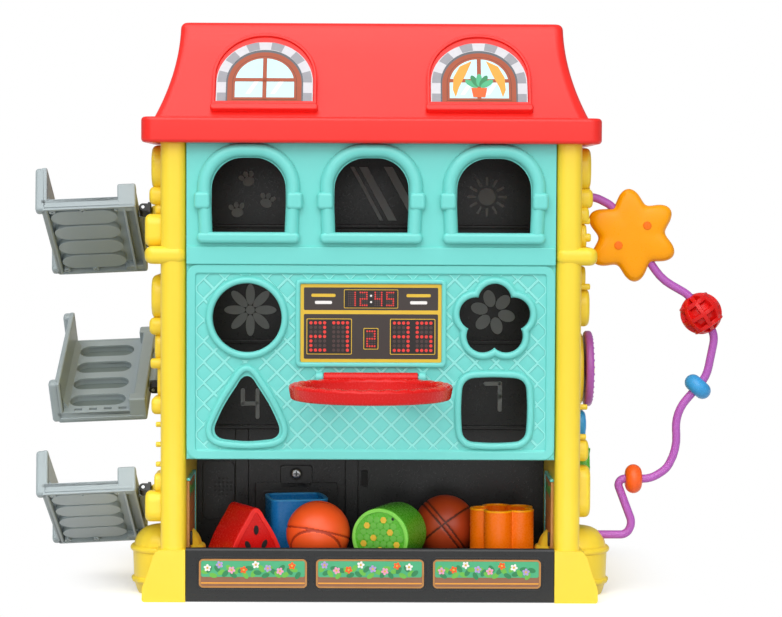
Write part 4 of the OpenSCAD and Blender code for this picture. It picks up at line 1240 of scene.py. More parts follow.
@dataclass
class SideWall:
    """Yellow side: round-edged posts, a belt, flared feet, a fluted planter barrel and side reliefs."""

    side: int
    inner: float = 130.0
    outer: float = 148.0
    half_d: float = 115.0
    eaves: float = 323.0
    foot_h: float = 33.0
    belt_z: float = 238.0
    belt_h: float = 12.6
    belt_out: float = 11.0
    barrel: Place = (146.0, -67.0, 25.0)
    flutes: int = 18
    root: float = 3.0

    def foot(self) -> Form:
        """One front foot: a block whose outer face leans out to the floor.

        Returns:
            The foot of the right side.
        """
        flare = [(160.7, 0), (160.5, 10), (157.2, 18.4), (152.2, 33.8), (149.6, 37)]
        made = outline([(self.inner, 0), *flare, (self.inner, 37)])
        made.corners(2.4, 4, lambda co: co.x > self.inner + 1)
        return made.thick(28).soften(2.2, 4, 50).stand(-88.5)

    def flute(self, co: Vector) -> Vector:
        """Waves the barrel's dome and its lower ring in and out.

        Args:
            co: A point of the barrel.

        Returns:
            Its new place.
        """
        reach = math.hypot(co.x, co.y)
        wave = math.cos(self.flutes * math.atan2(co.y, co.x))
        deep = 0.2 if co.z > 35 else (0.35 if abs(co.z - 10) < 2.5 else 0.0)
        away = max(0.0, min(1.0, reach / 8 - 0.6))
        share = 1 + deep * away * wave / max(1.0, reach)
        return Vector((co.x * share, co.y * share, co.z))

    def planter(self) -> Form:
        """The barrel: a tapered wall with two rings under a fluted dome.

        Returns:
            The barrel of the right side.
        """
        x, y, r = self.barrel
        profile = [(0, 0), (r - 3.5, 0), (r - 2.2, 3), (r - 1.0, 7)]
        profile += arc(r - 0.8, 10, 2.2, -80, 80, 6) + [(r - 0.3, 14), (r + 0.2, 28)]
        profile += arc(r - 0.2, 32.5, 2.4, -80, 80, 7)
        profile += arc(r - 15.5, 33.5, 14.8, 6, 86, 10) + [(0, 48.6)]
        return lathe(profile, 72).bend(self.flute).move(x, y)

    def reliefs(self) -> Form:
        """Rounded mouldings on the outer face: plaques, clasps, brackets and studs.

        A plaque is Y, Z, depth, height and how far it stands out, a stud Y, Z, radius and the same.

        Returns:
            The reliefs of the right side.
        """
        made = Form()
        back = [(65, 195, 30, 13, 8.0), (42, 300, 46, 30, 5.0), (80, 214, 40, 30, 5.0), (78, 90, 44, 60, 4.0)]
        if self.side < 0:
            spots = [
                (-64, 306, 66, 31, 7.8), (-76, 285.8, 38, 13, 9.4), (-72, 276, 40, 9, 6.0),
                (-98, 261.5, 18, 23, 11.4), (-64, 214, 66, 31, 7.8), (-76, 193.2, 38, 12.4, 9.4),
                (-80, 178, 26, 22, 5.6), (-84, 155, 16, 26, 3.8), (-88, 137.3, 30, 12.4, 7.2),
                (-90, 83, 30, 13, 5.0), (-98, 66, 18, 22, 11.4),
            ]
            studs = [(-92, 166.8, 3.7, 8.4)] + [(-101, z, 1.9, 3.9) for z in (124.2, 110, 96)]
        else:
            spots = [
                (-64, 306, 66, 30, 7.6), (-78, 285, 34, 14, 9.2), (-76, 273, 40, 12, 6.4),
                (-70, 258, 50, 18, 4.8), (-70, 229, 50, 16, 4.2), (-64, 207.5, 66, 27, 7.2),
                (-88, 106, 22, 15.6, 7.0), (-87, 76.3, 24, 37, 8.6),
            ]
            studs = [
                (-92, 269.3, 2.4, 7.2), (-92, 257.4, 3.0, 7.8), (-94, 222.6, 2.2, 7.4),
                (-96, 137.2, 2.0, 6.0), (-96, 116, 2.0, 5.2),
            ]
        for y, z, deep, tall, out in spots + back:
            pad = plate(deep, tall, min(deep, tall) * 0.42, 8).thick(out + self.root)
            pad.soften(min(3.6, out * 0.45), 5)
            made.add(pad.face_right().move(self.outer - self.root, y, z))
        for y, z, radius, out in studs:
            stud = rod(out + self.root, radius, radius * 0.45)
            made.add(stud.turn(90, Axis.Y).move(self.outer - self.root, y, z))
        for k in range(3):
            made.add(rod(7, 4.5, 2.0).turn(90, Axis.Y).move(self.outer - self.root, 96, 150 + 14 * k))
        return made

    def build(self) -> None:
        """Publishes the wall."""
        made = plate(self.outer - self.inner, 2 * self.half_d, 7.4, 8).thick(self.eaves - self.foot_h)
        made.move((self.inner + self.outer) / 2, 0, self.foot_h)
        wide = self.outer + self.belt_out - self.inner
        belt = plate(wide, 2 * self.half_d + 2.4, 6.5, 8).thick(self.belt_h).soften(5.2, 6)
        made.add(belt.move(self.inner + wide / 2, 0, self.belt_z))
        for back in (1, -1):
            made.add(self.foot().size(y=back))
        made.add(block((self.inner, -95, 0), (self.outer + 1.2, 95, 36), 0.7))
        made.add(self.planter(), self.reliefs())
        if self.side > 0:
            made.add(rod(12, 8, 1.2, 40).turn(90, Axis.Y).move(self.outer - self.root, -67, 286.2))
            seat = lathe([(9, 0), (27, 0), (27, 7), (25.5, 8.2), (10, 8.2), (9, 7), (9, 0)], 72)
            made.add(seat.turn(90, Axis.Y).move(self.outer - self.root, -50, 161.4))
        made.mirrored(self.side).outward()
        if self.side < 0:
            for y, z, lean in HINGES.values():
                bar = block((5.6, -24, -5), (17.0, 24, 5), 1.6, 4).turn(lean * SLOPE, Axis.X)
                made.add(bar.move(HINGE_X, y, z))
        hand = "right" if self.side > 0 else "left"
        publish(made, f"{hand}_side_shell", "house", Paint.YELLOW, [f"{hand}_side_wall"])


@dataclass
class BaseTray:
    """Black tray: a floor between round-topped lips with recesses for the planter labels."""

    half: float = 129.6
    front: float = -115.5
    lip: float = 5.0
    lip_z: float = 38.5
    floor: float = 21.0
    pitch: float = 82.4
    label_z: float = 20.5
    recess: Point = (76.6, 21.0)
    line: float = 0.9

    def build(self) -> None:
        """Publishes the tray."""
        wall = block((-self.half, self.front, 0.4), (self.half, self.front + self.lip, self.lip_z))
        wall.soften(2.3, 5, 40, lambda co: co.z > 30 and abs(co.x) < self.half - 1)
        wall.soften(0.8, 2, 40, lambda co: co.z < 1 and abs(co.x) < self.half - 1)
        rear = wall.copy().mirrored(-1, Axis.Y)
        places = [i * self.pitch for i in (-1, 0, 1)]
        cuts = [plate(*self.recess, 4).thick(3).move(x, self.label_z) for x in places]
        wall.carve(*[cut.stand(self.front + 0.6) for cut in cuts])
        made = wall.add(rear)
        made.add(block((-self.half, self.front + 2, 18), (self.half, -self.front - 2, self.floor)))
        for x in places:
            edge = plate(self.recess[0] + 3.0, self.recess[1] + 3.0, 5.0).ring(self.line).thick(0.8)
            made.add(edge.soften(0.3, 2).move(x, self.label_z, -0.4).stand(self.front))
        publish(made, "base_tray_shell", "house", Paint.BLACK, ["base_tray"])


@dataclass
class PlanterLabels:
    """Three printed planters: a timber box with bands, leaves and flowers in a layout of its own."""

    pitch: float = 82.4
    z: float = 20.5
    y: float = -114.9
    size: Point = (76.0, 20.4)
    blooms: int = 8
    petals: int = 5

    def box(self, turn: int) -> Form:
        """One planter, facing up.

        Args:
            turn: Number of the planter, which shifts its flowers.

        Returns:
            The printed layers.
        """
        w, h = self.size
        made = layer(plate(w, h, 2.6), 0.0, 0.3)
        made.add(layer(plate(w - 2.4, h - 2.4, 1.8), 0.3), tint=1)
        made.add(layer(plate(w - 3.0, 1.0).move(y=3.4 - h / 2), 0.36, 0.05), tint=2)
        made.add(layer(plate(w - 3.0, h - 9.0, 1.4).move(y=3.2), 0.36), tint=4)
        step = (w - 8) / self.blooms
        for k in range(3 * self.blooms):
            x = -w / 2 + 4.4 + k * step / 3
            y = 1.2 + 2.6 * math.sin(2.4 * k + turn)
            leaf = disc(1.0, 16).size(2.9, 1.7).turn(60 * math.sin(1.7 * k + turn), Axis.Z)
            made.add(layer(leaf.move(x, y), 0.44 + 0.004 * k, 0.07), tint=5 + k % 2)
        for k in range(self.blooms):
            x = -w / 2 + 6.0 + k * step
            y = 3.9 + 2.4 * math.sin(1.9 * k + 2.0 * turn)
            for petal in range(self.petals):
                part = disc(1.0, 12).size(0.95, 1.25).move(y=1.45).turn(72 * petal + 20 * k, Axis.Z)
                made.add(layer(part.move(x, y), 0.6, 0.06), tint=7 + (k + turn) % 4)
            made.add(layer(disc(0.8, 12).move(x, y), 0.67, 0.05), tint=3)
        return made

    def build(self) -> None:
        """Publishes the labels."""
        made = Form()
        for i in (-1, 0, 1):
            made.add(self.box(i + 1).move(i * self.pitch, self.z))
        paints = (
            Paint.TIMBER, Paint.SOIL, Paint.AMBER, Paint.GOLD, Paint.LEAF, Paint.FERN, Paint.MOSS,
            Paint.WHITE, Paint.LILAC, Paint.PINK, Paint.CORAL,
        )
        publish(made.stand(self.y), "planter_print", "house", paints, ["planter_labels"])


@dataclass
class CoreWall:
    """Black wall behind the front: ribs, ledges and raised motifs with a painted grey highlight, seen through
    the holes.
    """

    half: float = 129.6
    y: float = -5.0
    wall: float = 3.0
    low: float = 21.0
    high: float = 323.0
    out: float = 0.7
    ledges: Place = (112.0, 176.0, 262.0)
    ribs: Point = (-101.0, -19.0)
    speaker: Point = (-110.0, 69.0)
    switch: Point = (-4.4, 75.0)

    def paw(self, x: float, z: float, turn: float) -> list[Form]:
        """A paw mark: one pad and three toes.

        Args:
            x: Its place across.
            z: Its height.
            turn: Its turn in degrees.

        Returns:
            Flat drawings.
        """
        parts = [disc(1.0, 24).size(4.4, 3.4).move(y=-1.5)]
        for k in (-1, 0, 1):
            toe = disc(1.0, 20).size(1.8, 2.3).turn(-26 * k, Axis.Z)
            parts.append(toe.move(4.0 * k, 4.2 - 1.2 * abs(k)))
        return [p.turn(turn, Axis.Z).move(x, z) for p in parts]

    def numeral(self, digit: int, x: float, z: float) -> list[Form]:
        """A plain numeral of round-ended bars, by the seven-segment rule.

        Args:
            digit: The number.
            x: Its place across.
            z: Its height.

        Returns:
            Flat drawings.
        """
        w, h = 11.0, 9.5
        bars = {
            "a": (0, 2 * h, 0), "g": (0, h, 0), "d": (0, 0, 0),
            "f": (-w / 2, 1.5 * h, 90), "b": (w / 2, 1.5 * h, 90),
            "e": (-w / 2, h / 2, 90), "c": (w / 2, h / 2, 90),
        }
        picked = [bars[name] for name in SEGMENTS[digit]]
        return [plate(w + 2.4, 3.2, 1.5).turn(t, Axis.Z).move(x + bx, z + by - h) for bx, by, t in picked]

    def motifs(self) -> list[Form]:
        """The flat drawings of all raised motifs.

        Returns:
            Drawings in X and Z.
        """
        marks = self.paw(-92, 298, 24) + self.paw(-78, 282, -18) + self.paw(-100, 275, 8)
        for x, wide in ((-16.0, 3.0), (-9.5, 6.5), (9.0, 6.5)):
            marks.append(outline([(x, 308), (x + 22, 268), (x + 22 + wide, 268), (x + wide, 308)]))
        marks.append(disc(6.5, 40).move(86, 286))
        for k in range(12):
            marks.append(plate(2.0, 6.5, 0.9).move(y=11.5).turn(30 * k, Axis.Z).move(86, 286))
        for k in range(8):
            marks.append(disc(1.0, 24).size(3.4, 8.0).move(y=11.5).turn(45 * k, Axis.Z).move(-90, 201))
        marks.append(disc(3.4, 24).move(-90, 201))
        for k in range(6):
            marks.append(disc(1.0, 24).size(4.4, 6.4).move(y=10.5).turn(60 * k + 15, Axis.Z).move(91, 200))
        return marks + self.numeral(4, -90, 131) + self.numeral(7, 91, 137)

    def build(self) -> None:
        """Publishes the wall."""
        made = block((-self.half, self.y, self.low), (self.half, self.y + self.wall, self.high))
        for z in self.ledges:
            made.add(block((-self.half, self.y - 2, z), (self.half, self.y + 1, z + 3), 0.7))
        for x in self.ribs:
            made.add(block((x, self.y - 2, self.low), (x + 10, self.y + 1, self.ledges[0]), 0.8))
        made.add(plate(24, 44, 4).thick(1.4).soften(0.6).move(-113.5, 66).stand(self.y + 0.4))
        # Each motif stands proud in the wall's black plastic and gets light grey as a painted highlight.
        for mark in self.motifs():
            made.add(mark.thick(self.out + 0.3).soften(0.35, 2).stand(self.y + 0.3), tint=1)
        # The speaker's holes are dark discs painted as shade, not cut through.
        for i in range(-2, 3):
            for j in range(-2, 3):
                if i * i + j * j < 6:
                    hole = disc(0.85, 16).thick(0.2).move(self.speaker[0] + 3 * i, self.speaker[1] + 3 * j)
                    made.add(hole.stand(self.y - 0.95), tint=2)
        # The switch's slot is a dark plate painted as shade inside its rim.
        made.add(plate(4.6, 11, 1.2).thick(0.3).move(*self.switch).stand(self.y), tint=2)
        rim = plate(6.2, 12.6, 1.6).ring(0.7).thick(0.9).move(*self.switch).soften(0.25, 2)
        paints = (Paint.BLACK, Paint.RAISED_HIGHLIGHT, Paint.BLACK_MARKS_AND_HOLE_SHADE)
        publish(made.add(rim.stand(self.y)), "core_wall_shell", "house", paints, ["core_wall"])


@dataclass
class BatteryDoor:
    """Black battery door with a tab, two grip ridges and a bright cross-head screw on a seat painted dark as
    shade.
    """

    x: float = -55.4
    y: float = -5.0
    low: float = 24.0
    wall: float = 1.5
    size: Point = (61.5, 48.0)
    tab: Point = (24.0, 17.0)
    screw_z: float = 78.5

    def build(self) -> None:
        """Publishes the door and its screw."""
        w, h = self.size
        made = plate(w, h, 2).thick(self.wall).soften(0.6).move(self.x, self.low + h / 2)
        made.add(plate(*self.tab, 2.4).thick(self.wall).soften(0.6).move(self.x, self.low + h + 4.5))
        for k in (0, 1):
            ridge = plate(w - 12, 1.6, 0.7).thick(0.8).soften(0.3, 2)
            made.add(ridge.move(self.x, self.low + 36 + 5 * k, 1.2))
        # A dark disc painted as the shade of the screw's recess.
        made.add(disc(4.9, 40).thick(0.2).move(self.x, self.screw_z, self.wall - 0.05), tint=1)
        paints = (Paint.BLACK, Paint.BLACK_MARKS_AND_HOLE_SHADE)
        publish(made.stand(self.y), "battery_door_shell", "house", paints, ["battery_door"])
        head = screw_head(0, [(3.5, 0.5), *arc(2.4, 0.5, 1.1, 10, 80, 4), (0, 1.75)], 4.2, 0.9, 40)
        head.move(self.x, self.screw_z, 0.5).stand(self.y)
        publish(head, "battery_screw_head", "house", Paint.STEEL, ["battery_screw"])


@dataclass
class RearPanel:
    """Teal rear panel: two embossed fields, a belt, case screws and the power slider in its slot."""

    half: float = 129.5
    y: float = 112.0
    wall: float = 3.0
    low: float = 38.7
    high: float = 323.0
    belt: Point = (238.0, 250.6)
    fields: tuple[Point, ...] = ((46.0, 230.0), (258.0, 315.0))
    screw_x: float = 118.0
    screw_z: tuple[float, ...] = (60.0, 150.0, 225.0, 300.0)
    slider: Point = (-86.0, 62.0)

    def panel(self) -> Form:
        """The panel, seen from behind.

        Returns:
            The joined solids about the middle of the wall.
        """
        out, (x, z) = self.wall / 2, self.slider
        made = block((-self.half, -out, self.low), (self.half, out, self.high))
        made.carve(plate(20.8, 6.8, 2).thick(12).move(-x - 4, z).stand(6))
        made.add(block((-self.half, -3.5, self.belt[0]), (self.half, 0, self.belt[1]), 0.9))
        for low, high in self.fields:
            rim = plate(2 * self.half - 44, high - low, 12).ring(4).thick(1.2).soften(0.5)
            made.add(rim.move(y=(low + high) / 2, z=-0.2).stand(-out))
        rim = plate(28, 14, 5).ring(1.6).thick(1.0).soften(0.4, 2).move(-x - 4, z)
        return made.add(rim.stand(0.1 - out))

    def build(self) -> None:
        """Publishes the panel, its screws and the slider."""
        made = self.panel().turn(180, Axis.Z).move(y=self.y - self.wall / 2)
        publish(made, "rear_shell", "house", Paint.TEAL, ["rear_panel"])
        heads = Form()
        dome = [(3.5, 0.3), *arc(2.0, 0.3, 1.5, 10, 80, 4), (0, 1.9)]
        for x in (-self.screw_x, self.screw_x):
            for z in self.screw_z:
                heads.add(screw_head(-0.5, dome, 4.4, 1.1, 32).move(x, z))
        heads.stand().turn(180, Axis.Z).move(y=self.y)
        publish(heads, "case_screw_heads", "house", Paint.STEEL, ["case_screws"])
        knob = plate(12, 6, 1.8).thick(5.6).soften(0.7).move(z=-3.4)
        for k in (-1, 0, 1):
            knob.add(plate(1.1, 4.4, 0.5).thick(0.6).soften(0.25, 2).move(x=2.4 * k, z=2.0))
        knob.add(plate(20, 24, 1).thick(2).move(z=-5.4))
        knob.move(-self.slider[0], self.slider[1]).stand().turn(180, Axis.Z).move(y=self.y)
        publish(knob, "power_slider_knob", "power_slider", Paint.BLACK, ["power_slider"])


@dataclass
class BayLiner:
    """A thin board on the bay's side wall: printed timber with leaves, a latch and a teal edge."""

    side: int
    inner: float = 130.0
    front: float = -101.0
    back: float = -47.0
    low: float = 21.2
    high: float = 84.0
    wall: float = 1.9
    boards: int = 4
    leaves: int = 9

    def board(self, length: float, tall: float) -> Form:
        """The printed board, facing up.

        Args:
            length: Its size in X.
            tall: Its size in Y.

        Returns:
            The board with its print and its latch.
        """
        made = plate(length, tall, 1.0).thick(self.wall).soften(0.4, 2)
        for k in range(self.boards):
            joint = plate(length - 2, 0.7).move(y=-tall / 2 + 12 + 13 * k)
            made.add(layer(joint, self.wall - 0.02, 0.06), tint=1)
        for k in range(self.leaves):
            leaf = disc(1.0, 16).size(4.6, 2.6).turn(40 * math.sin(2.1 * k), Axis.Z)
            rise = tall / 2 - 5.5 - 3.5 * abs(math.sin(1.3 * k))
            made.add(layer(leaf.move((k - 4) * 5.4, rise), self.wall + 0.01 * k, 0.08), tint=2 + k % 2)
        latch = plate(5.0, 10.0, 1.4).thick(1.6).soften(0.4, 2)
        return made.add(latch.move(-length / 2 + 9, -tall / 2 + 21, self.wall - 0.2), tint=4)

    def build(self) -> None:
        """Publishes the board and its edge."""
        hand = "right" if self.side > 0 else "left"
        length, tall = self.back - self.front, self.high - self.low
        end = (length / 2 + 2, tall / 2 + 2, 2.5)
        trim = block((-length / 2, tall / 2 + 0.1, 0), end, 0.5)
        trim.add(block((length / 2 + 0.1, -tall / 2, 0), end, 0.5))
        prints = (Paint.TIMBER, Paint.SOIL, Paint.FERN, Paint.MOSS, Paint.BLACK)
        for form, name, paints, node in (
            (self.board(length, tall), "liner", prints, "bay_liner"),
            (trim, "liner_edge", (Paint.TEAL,), "liner_trim"),
        ):
            form.face_right().move(-self.inner).mirrored(-self.side)
            form.move(0, (self.front + self.back) / 2, (self.low + self.high) / 2)
            publish(form, f"{hand}_{name}", "house", paints, [f"{hand}_{node}"])


@dataclass
class WallPlates:
    """A green leaf and a small blue plate on the right wall."""

    x: float = 148.0
    y: float = -50.0
    leaf_z: float = 81.0
    tile_z: float = 121.0

    def build(self) -> None:
        """Publishes both plates."""
        leaf = plate(46, 56, 20, 10).thick(10.6).soften(3.2, 5)
        leaf.add(plate(2.4, 44, 1.1).thick(1.2).soften(0.5, 2).move(z=10.2))
        for k in range(3):
            for hand in (-1, 1):
                vein = plate(1.8, 19, 0.8).thick(1.1).soften(0.4, 2).turn(-hand * 55, Axis.Z)
                leaf.add(vein.move(hand * 8.2, -8 + 13 * k, 10.0))
        leaf.face_right().move(self.x, self.y, self.leaf_z)
        publish(leaf, "leaf_shell", "house", Paint.GREEN, ["leaf_plate"])
        tile = plate(30, 20, 8.4, 8).thick(8).soften(2.6, 5)
        tile.add(plate(18, 9, 4.0).ring(1.6).thick(0.9).soften(0.4, 2).move(z=7.7))
        tile.face_right().move(self.x, self.y, self.tile_z)
        publish(tile, "blue_plate_shell", "house", Paint.SKY, ["blue_plate"])


@dataclass
class Hoop:
    """Red hoop: a deep round ring with a scalloped top edge on a hinge collar."""

    centre: Point = (0.0, -167.7)
    radius: float = 55.8
    bar: float = 8.8
    low: float = 148.0
    high: float = 158.6
    axis: Point = (-115.5, 159.0)
    collar: float = 33.0
    scallops: int = 28
    fade: float = 3.2

    def scallop(self, co: Vector) -> Vector:
        """Waves the ring's top edge.

        Args:
            co: A point of the ring, with its foot at zero.

        Returns:
            Its new place.
        """
        share = max(0.0, (co.z - (self.high - self.low) + self.fade) / self.fade)
        wave = abs(math.cos(self.scallops / 2 * math.atan2(co.y, co.x)))
        return Vector((co.x, co.y, co.z + share * (0.9 * wave - 0.7)))

    def build(self) -> None:
        """Publishes the hoop."""
        outer, inner, tall = self.radius, self.radius - self.bar, self.high - self.low
        profile = arc(outer - 3.4, 2.6, 2.4, -90, -10, 5) + arc(outer - 2.6, tall - 2.6, 2.6, 0, 90, 6)
        profile += arc(inner + 2.6, tall - 2.6, 2.6, 90, 180, 6) + arc(inner + 2.6, 2.6, 2.4, 180, 270, 5)
        made = lathe(profile + profile[:1], 196).bend(self.scallop).move(*self.centre, self.low)
        half, (y, z) = self.collar, self.axis
        made.add(rod(2 * half, 3.6, 0.7, 40).turn(90, Axis.Y).move(-half, y, z))
        made.add(block((-half, y - 0.2, self.low), (half, y + 3.5, z), 1.2, 4))
        web = block((-half, y - 9.6, self.low + 0.2), (half, y + 1, self.high - 0.4), 1.0)
        web.carve(disc(inner + 3, 96).thick(40).move(*self.centre, self.low - 10))
        publish(made.add(web), "hoop_shell", "hoop", Paint.CRIMSON, ["hoop"])


@dataclass
class Ramp:
    """A grey ball ramp: a floor with four round-ended wells, skirts, walls and its hinge knuckle."""

    name: str
    y: float
    z: float
    lean: int
    droop: float = 3.0
    half: float = 53.5
    outer: float = -69.6
    inner: float = -3.6
    middle: float = -41.25
    foot: float = -11.0
    pitch: float = 24.0
    wells: int = 4
    well_size: Point = (42.0, 16.0)
    drains: int = 4

    def well(self, grow: float = 0.0) -> Form:
        """A round-ended drawing, long across the ramp."""
        length, width = (v + grow for v in self.well_size)
        return plate(length, width, width / 2 - 0.01, 10)

    def floor(self) -> Form:
        """The floor with wells and drains, and the bulging pads under the wells.

        Returns:
            The joined solids in the ramp's own frame.
        """
        places = [(i - (self.wells - 1) / 2) * self.pitch for i in range(self.wells)]
        made = block((self.outer, -self.half, -5.5), (self.inner, self.half, -3))
        cuts = [self.well().thick(8).move(self.middle, y, -8) for y in places]
        for k in range(self.drains):
            x, y = self.middle + 3.0 + (k - 1.5) * 11, -self.lean * (self.half - 5)
            cuts.append(block((x - 3, y - 1.5, -9), (x + 3, y + 1.5, 0)))
        made.carve(*cuts)
        for y in places:
            pad = self.well(5.0).thick(5).soften(4.0, 6, pick=lambda co: co.z < 0.1)
            pad.carve(self.well().thick(9).move(z=1.2))
            # The pad's upward faces, the bottom of each well, get a darker grey as painted shade.
            for face in pad.bm.faces:
                face.material_index = int(face.normal.z > 0.5)
            made.add(pad.move(self.middle, y, -9.6))
        return made

    def frame(self) -> Form:
        """Skirts, the hollow inner box, the outer wall with its end posts, and ring bosses.

        Returns:
            The joined solids in the ramp's own frame.
        """
        half, outer, inner, foot = self.half, self.outer, self.inner, self.foot
        made = plate(inner - outer, 2 * half, 2.0).ring(2).thick(8.2).soften(0.5, 2)
        made.move((inner + outer) / 2, 0, foot)
        box = block((inner - 9.3, -half, foot), (inner, half, 7), 1.5, 4)
        made.add(box.carve(block((inner - 7.3, 2 - half, foot - 3), (inner - 2, half - 2, 5))))
        made.add(block((outer, -half, foot), (outer + 4, half, 23), 1.3, 4))
        for hand in (-1, 1):
            low, high = sorted((hand * half, hand * (half - 8)))
            made.add(block((outer - 4.5, low, foot), (outer + 4, high, 23), 2.4, 5))
            made.add(block((inner - 12.6, low - 0.4, foot + 0.4), (inner + 0.3, high + 0.4, 7.5), 1.4, 4))
            end = hand * (half + 0.2)
            made.add(block((outer + 2, end - 0.5, -9.4), (inner - 2, end + 0.5, -7.0), 0.4))
        boss = [(0.9, 0), (2.3, 0), (2.4, 0.3), (2.4, 5.5), (0.9, 5.5), (0.9, 0)]
        for x in (outer + 7, self.middle, inner - 13):
            for y in (-half + 5.5, half - 5.5):
                made.add(lathe(boss, 24).move(x, y, foot + 0.4))
        cove = outline([(4.0, 0), (0, 7.0), (0, 0)]).thick(2 * half - 16).stand(half - 8)
        made.add(cove.move(outer + 3.5, 0, -3.2))
        knuckle = rod(40, 3).turn(-90, Axis.X).move(y=-20)
        return made.add(knuckle, block((inner - 1, -20, -3), (-1, 20, 3)))

    def build(self) -> None:
        """Publishes the ramp on its hinge."""
        made = self.floor().add(self.frame())
        made.turn(-self.droop, Axis.Y).turn(self.lean * SLOPE, Axis.X).move(HINGE_X, self.y, self.z)
        publish(made, f"{self.name}_shell", self.name, (Paint.GREY, Paint.GREY_WELL_SHADE), [self.name])


@dataclass
class BeadWire:
    """Purple bead wire with a puffy star, a lattice bead and two ring beads.

    The path gives X from the wall, Z and the bend radius of each corner, the puff the star's height and size.
    """

    y: float = -67.0
    wall: float = 148.0
    radius: float = 3.0
    bore: float = 3.45
    path: tuple[Place, ...] = (
        (1, 286.2, 0), (13, 286.2, 20), (24.5, 280.4, 14), (61.5, 227, 36), (80.9, 216.1, 20),
        (100.5, 187.5, 16), (94.5, 157, 26), (72, 131, 30), (73.8, 104, 38), (66, 90, 16), (55, 82.8, 20),
        (29.5, 82.8, 4.5), (41.8, 50.5, 10), (37.5, 42.2, 7), (6, 42.2, 0),
    )
    star_r: float = 33.5
    puff: tuple[Point, ...] = (
        (2.0, 0.995), (4.0, 0.965), (5.8, 0.905), (7.1, 0.815), (7.9, 0.69), (8.3, 0.53), (8.5, 0.34),
        (8.55, 0.15),
    )
    star_run: int = 2
    star_share: float = 0.404

    def on_wire(self, form: Form, run: int, share: float) -> Form:
        """Puts a piece on a straight run.

        Args:
            form: The piece, with X along the wire and Z to the front.
            run: Number of the run.
            share: Place along the run.

        Returns:
            The piece in place.
        """
        start, end = (Vector((self.wall + p[0], p[1])) for p in self.path[run : run + 2])
        place = start.lerp(end, share)
        angle = math.degrees(math.atan2(end.y - start.y, end.x - start.x))
        return form.turn(angle, Axis.Z).move(place.x, place.y).stand(self.y)

    def borer(self, length: float) -> Form:
        """A bar along X that cuts the wire's bore."""
        return rod(length, self.bore, 0.1).turn(90, Axis.Y).move(-length / 2)

    def gather(self, co: Vector) -> Vector:
        """Draws the middle of the star together, so that its points look fuller."""
        share = 1 - 0.14 * 0.6 * (1 - min(1.0, math.hypot(co.x, co.y) / 30))
        return Vector((co.x * share, co.y * share, co.z))

    def star(self) -> None:
        """Publishes both halves of the star and its pins."""
        half = disc(self.star_r, 144)
        half.bend(lambda co: co * (0.865 + 0.135 * math.cos(6 * (math.atan2(co.y, co.x) - math.pi / 6))))
        half.loft([(z, s, s) for z, s in self.puff]).bend(self.gather)
        for form, hand in ((half, "front"), (half.copy().mirrored(-1, Axis.Z), "back")):
            self.on_wire(form.carve(self.borer(80)), self.star_run, self.star_share)
            publish(form, f"star_{hand}_shell", "star", Paint.ORANGE, [f"star_{hand}"])
        pins = Form()
        for hand in (-1, 1):
            pins.add(rod(17.9, 3.0, 0.6).move(0, 12.5 * hand, -8.6))
        self.on_wire(pins, self.star_run, self.star_share)
        publish(pins, "star_pin_heads", "star", Paint.TANGERINE, ["star_pins"])

    def lattice(self) -> None:
        """Publishes the lattice bead: meridian and latitude ribs around a core."""
        core = Form()
        bmesh.ops.create_uvsphere(core.bm, u_segments=48, v_segments=24, radius=11.6)
        made = core.carve(self.borer(40))
        section = [(11, -1.7), (14.4, -1.7)] + arc(0, 0, 15, -5, 5, 4) + [(14.4, 1.7), (11, 1.7), (11, -1.7)]
        for turn in (0, 45, 90, 135):
            made.add(lathe(section).turn(turn, Axis.X).carve(self.borer(40)))
        made.add(lathe(section).turn(90, Axis.Y))
        for hand in (-1, 1):
            side = lathe([(r - 3.2, z + 0.9) for r, z in section]).move(z=8.2)
            made.add(side.turn(90 * hand, Axis.Y))
        self.on_wire(made, 4, 0.467)
        publish(made, "lattice_bead_shell", "lattice_bead", Paint.CRIMSON, ["lattice_bead"])

    def ring_bead(self, name: str, run: int, share: float, paint: Paint) -> None:
        """Publishes a ring bead.

        Args:
            name: The bead's node.
            run: Number of the wire's run.
            share: Place along the run.
            paint: Its finish.
        """
        section = arc(4.5, 0, 6.0, -100.1, 100.1, 22)
        made = lathe(section + section[:1], 56).turn(90, Axis.Y)
        publish(self.on_wire(made, run, share), f"{name}_shell", name, paint, [name])

    def build(self) -> None:
        """Publishes the wire and its beads."""
        bar = follow([(self.wall + x, z, r) for x, z, r in self.path], self.radius)
        publish(bar.stand(self.y), "bead_wire_bar", "house", Paint.PURPLE, ["bead_wire"])
        self.star()
        self.lattice()
        self.ring_bead("blue_bead", 6, 0.28, Paint.SKY)
        self.ring_bead("orange_bead", 10, 0.5, Paint.CORAL)


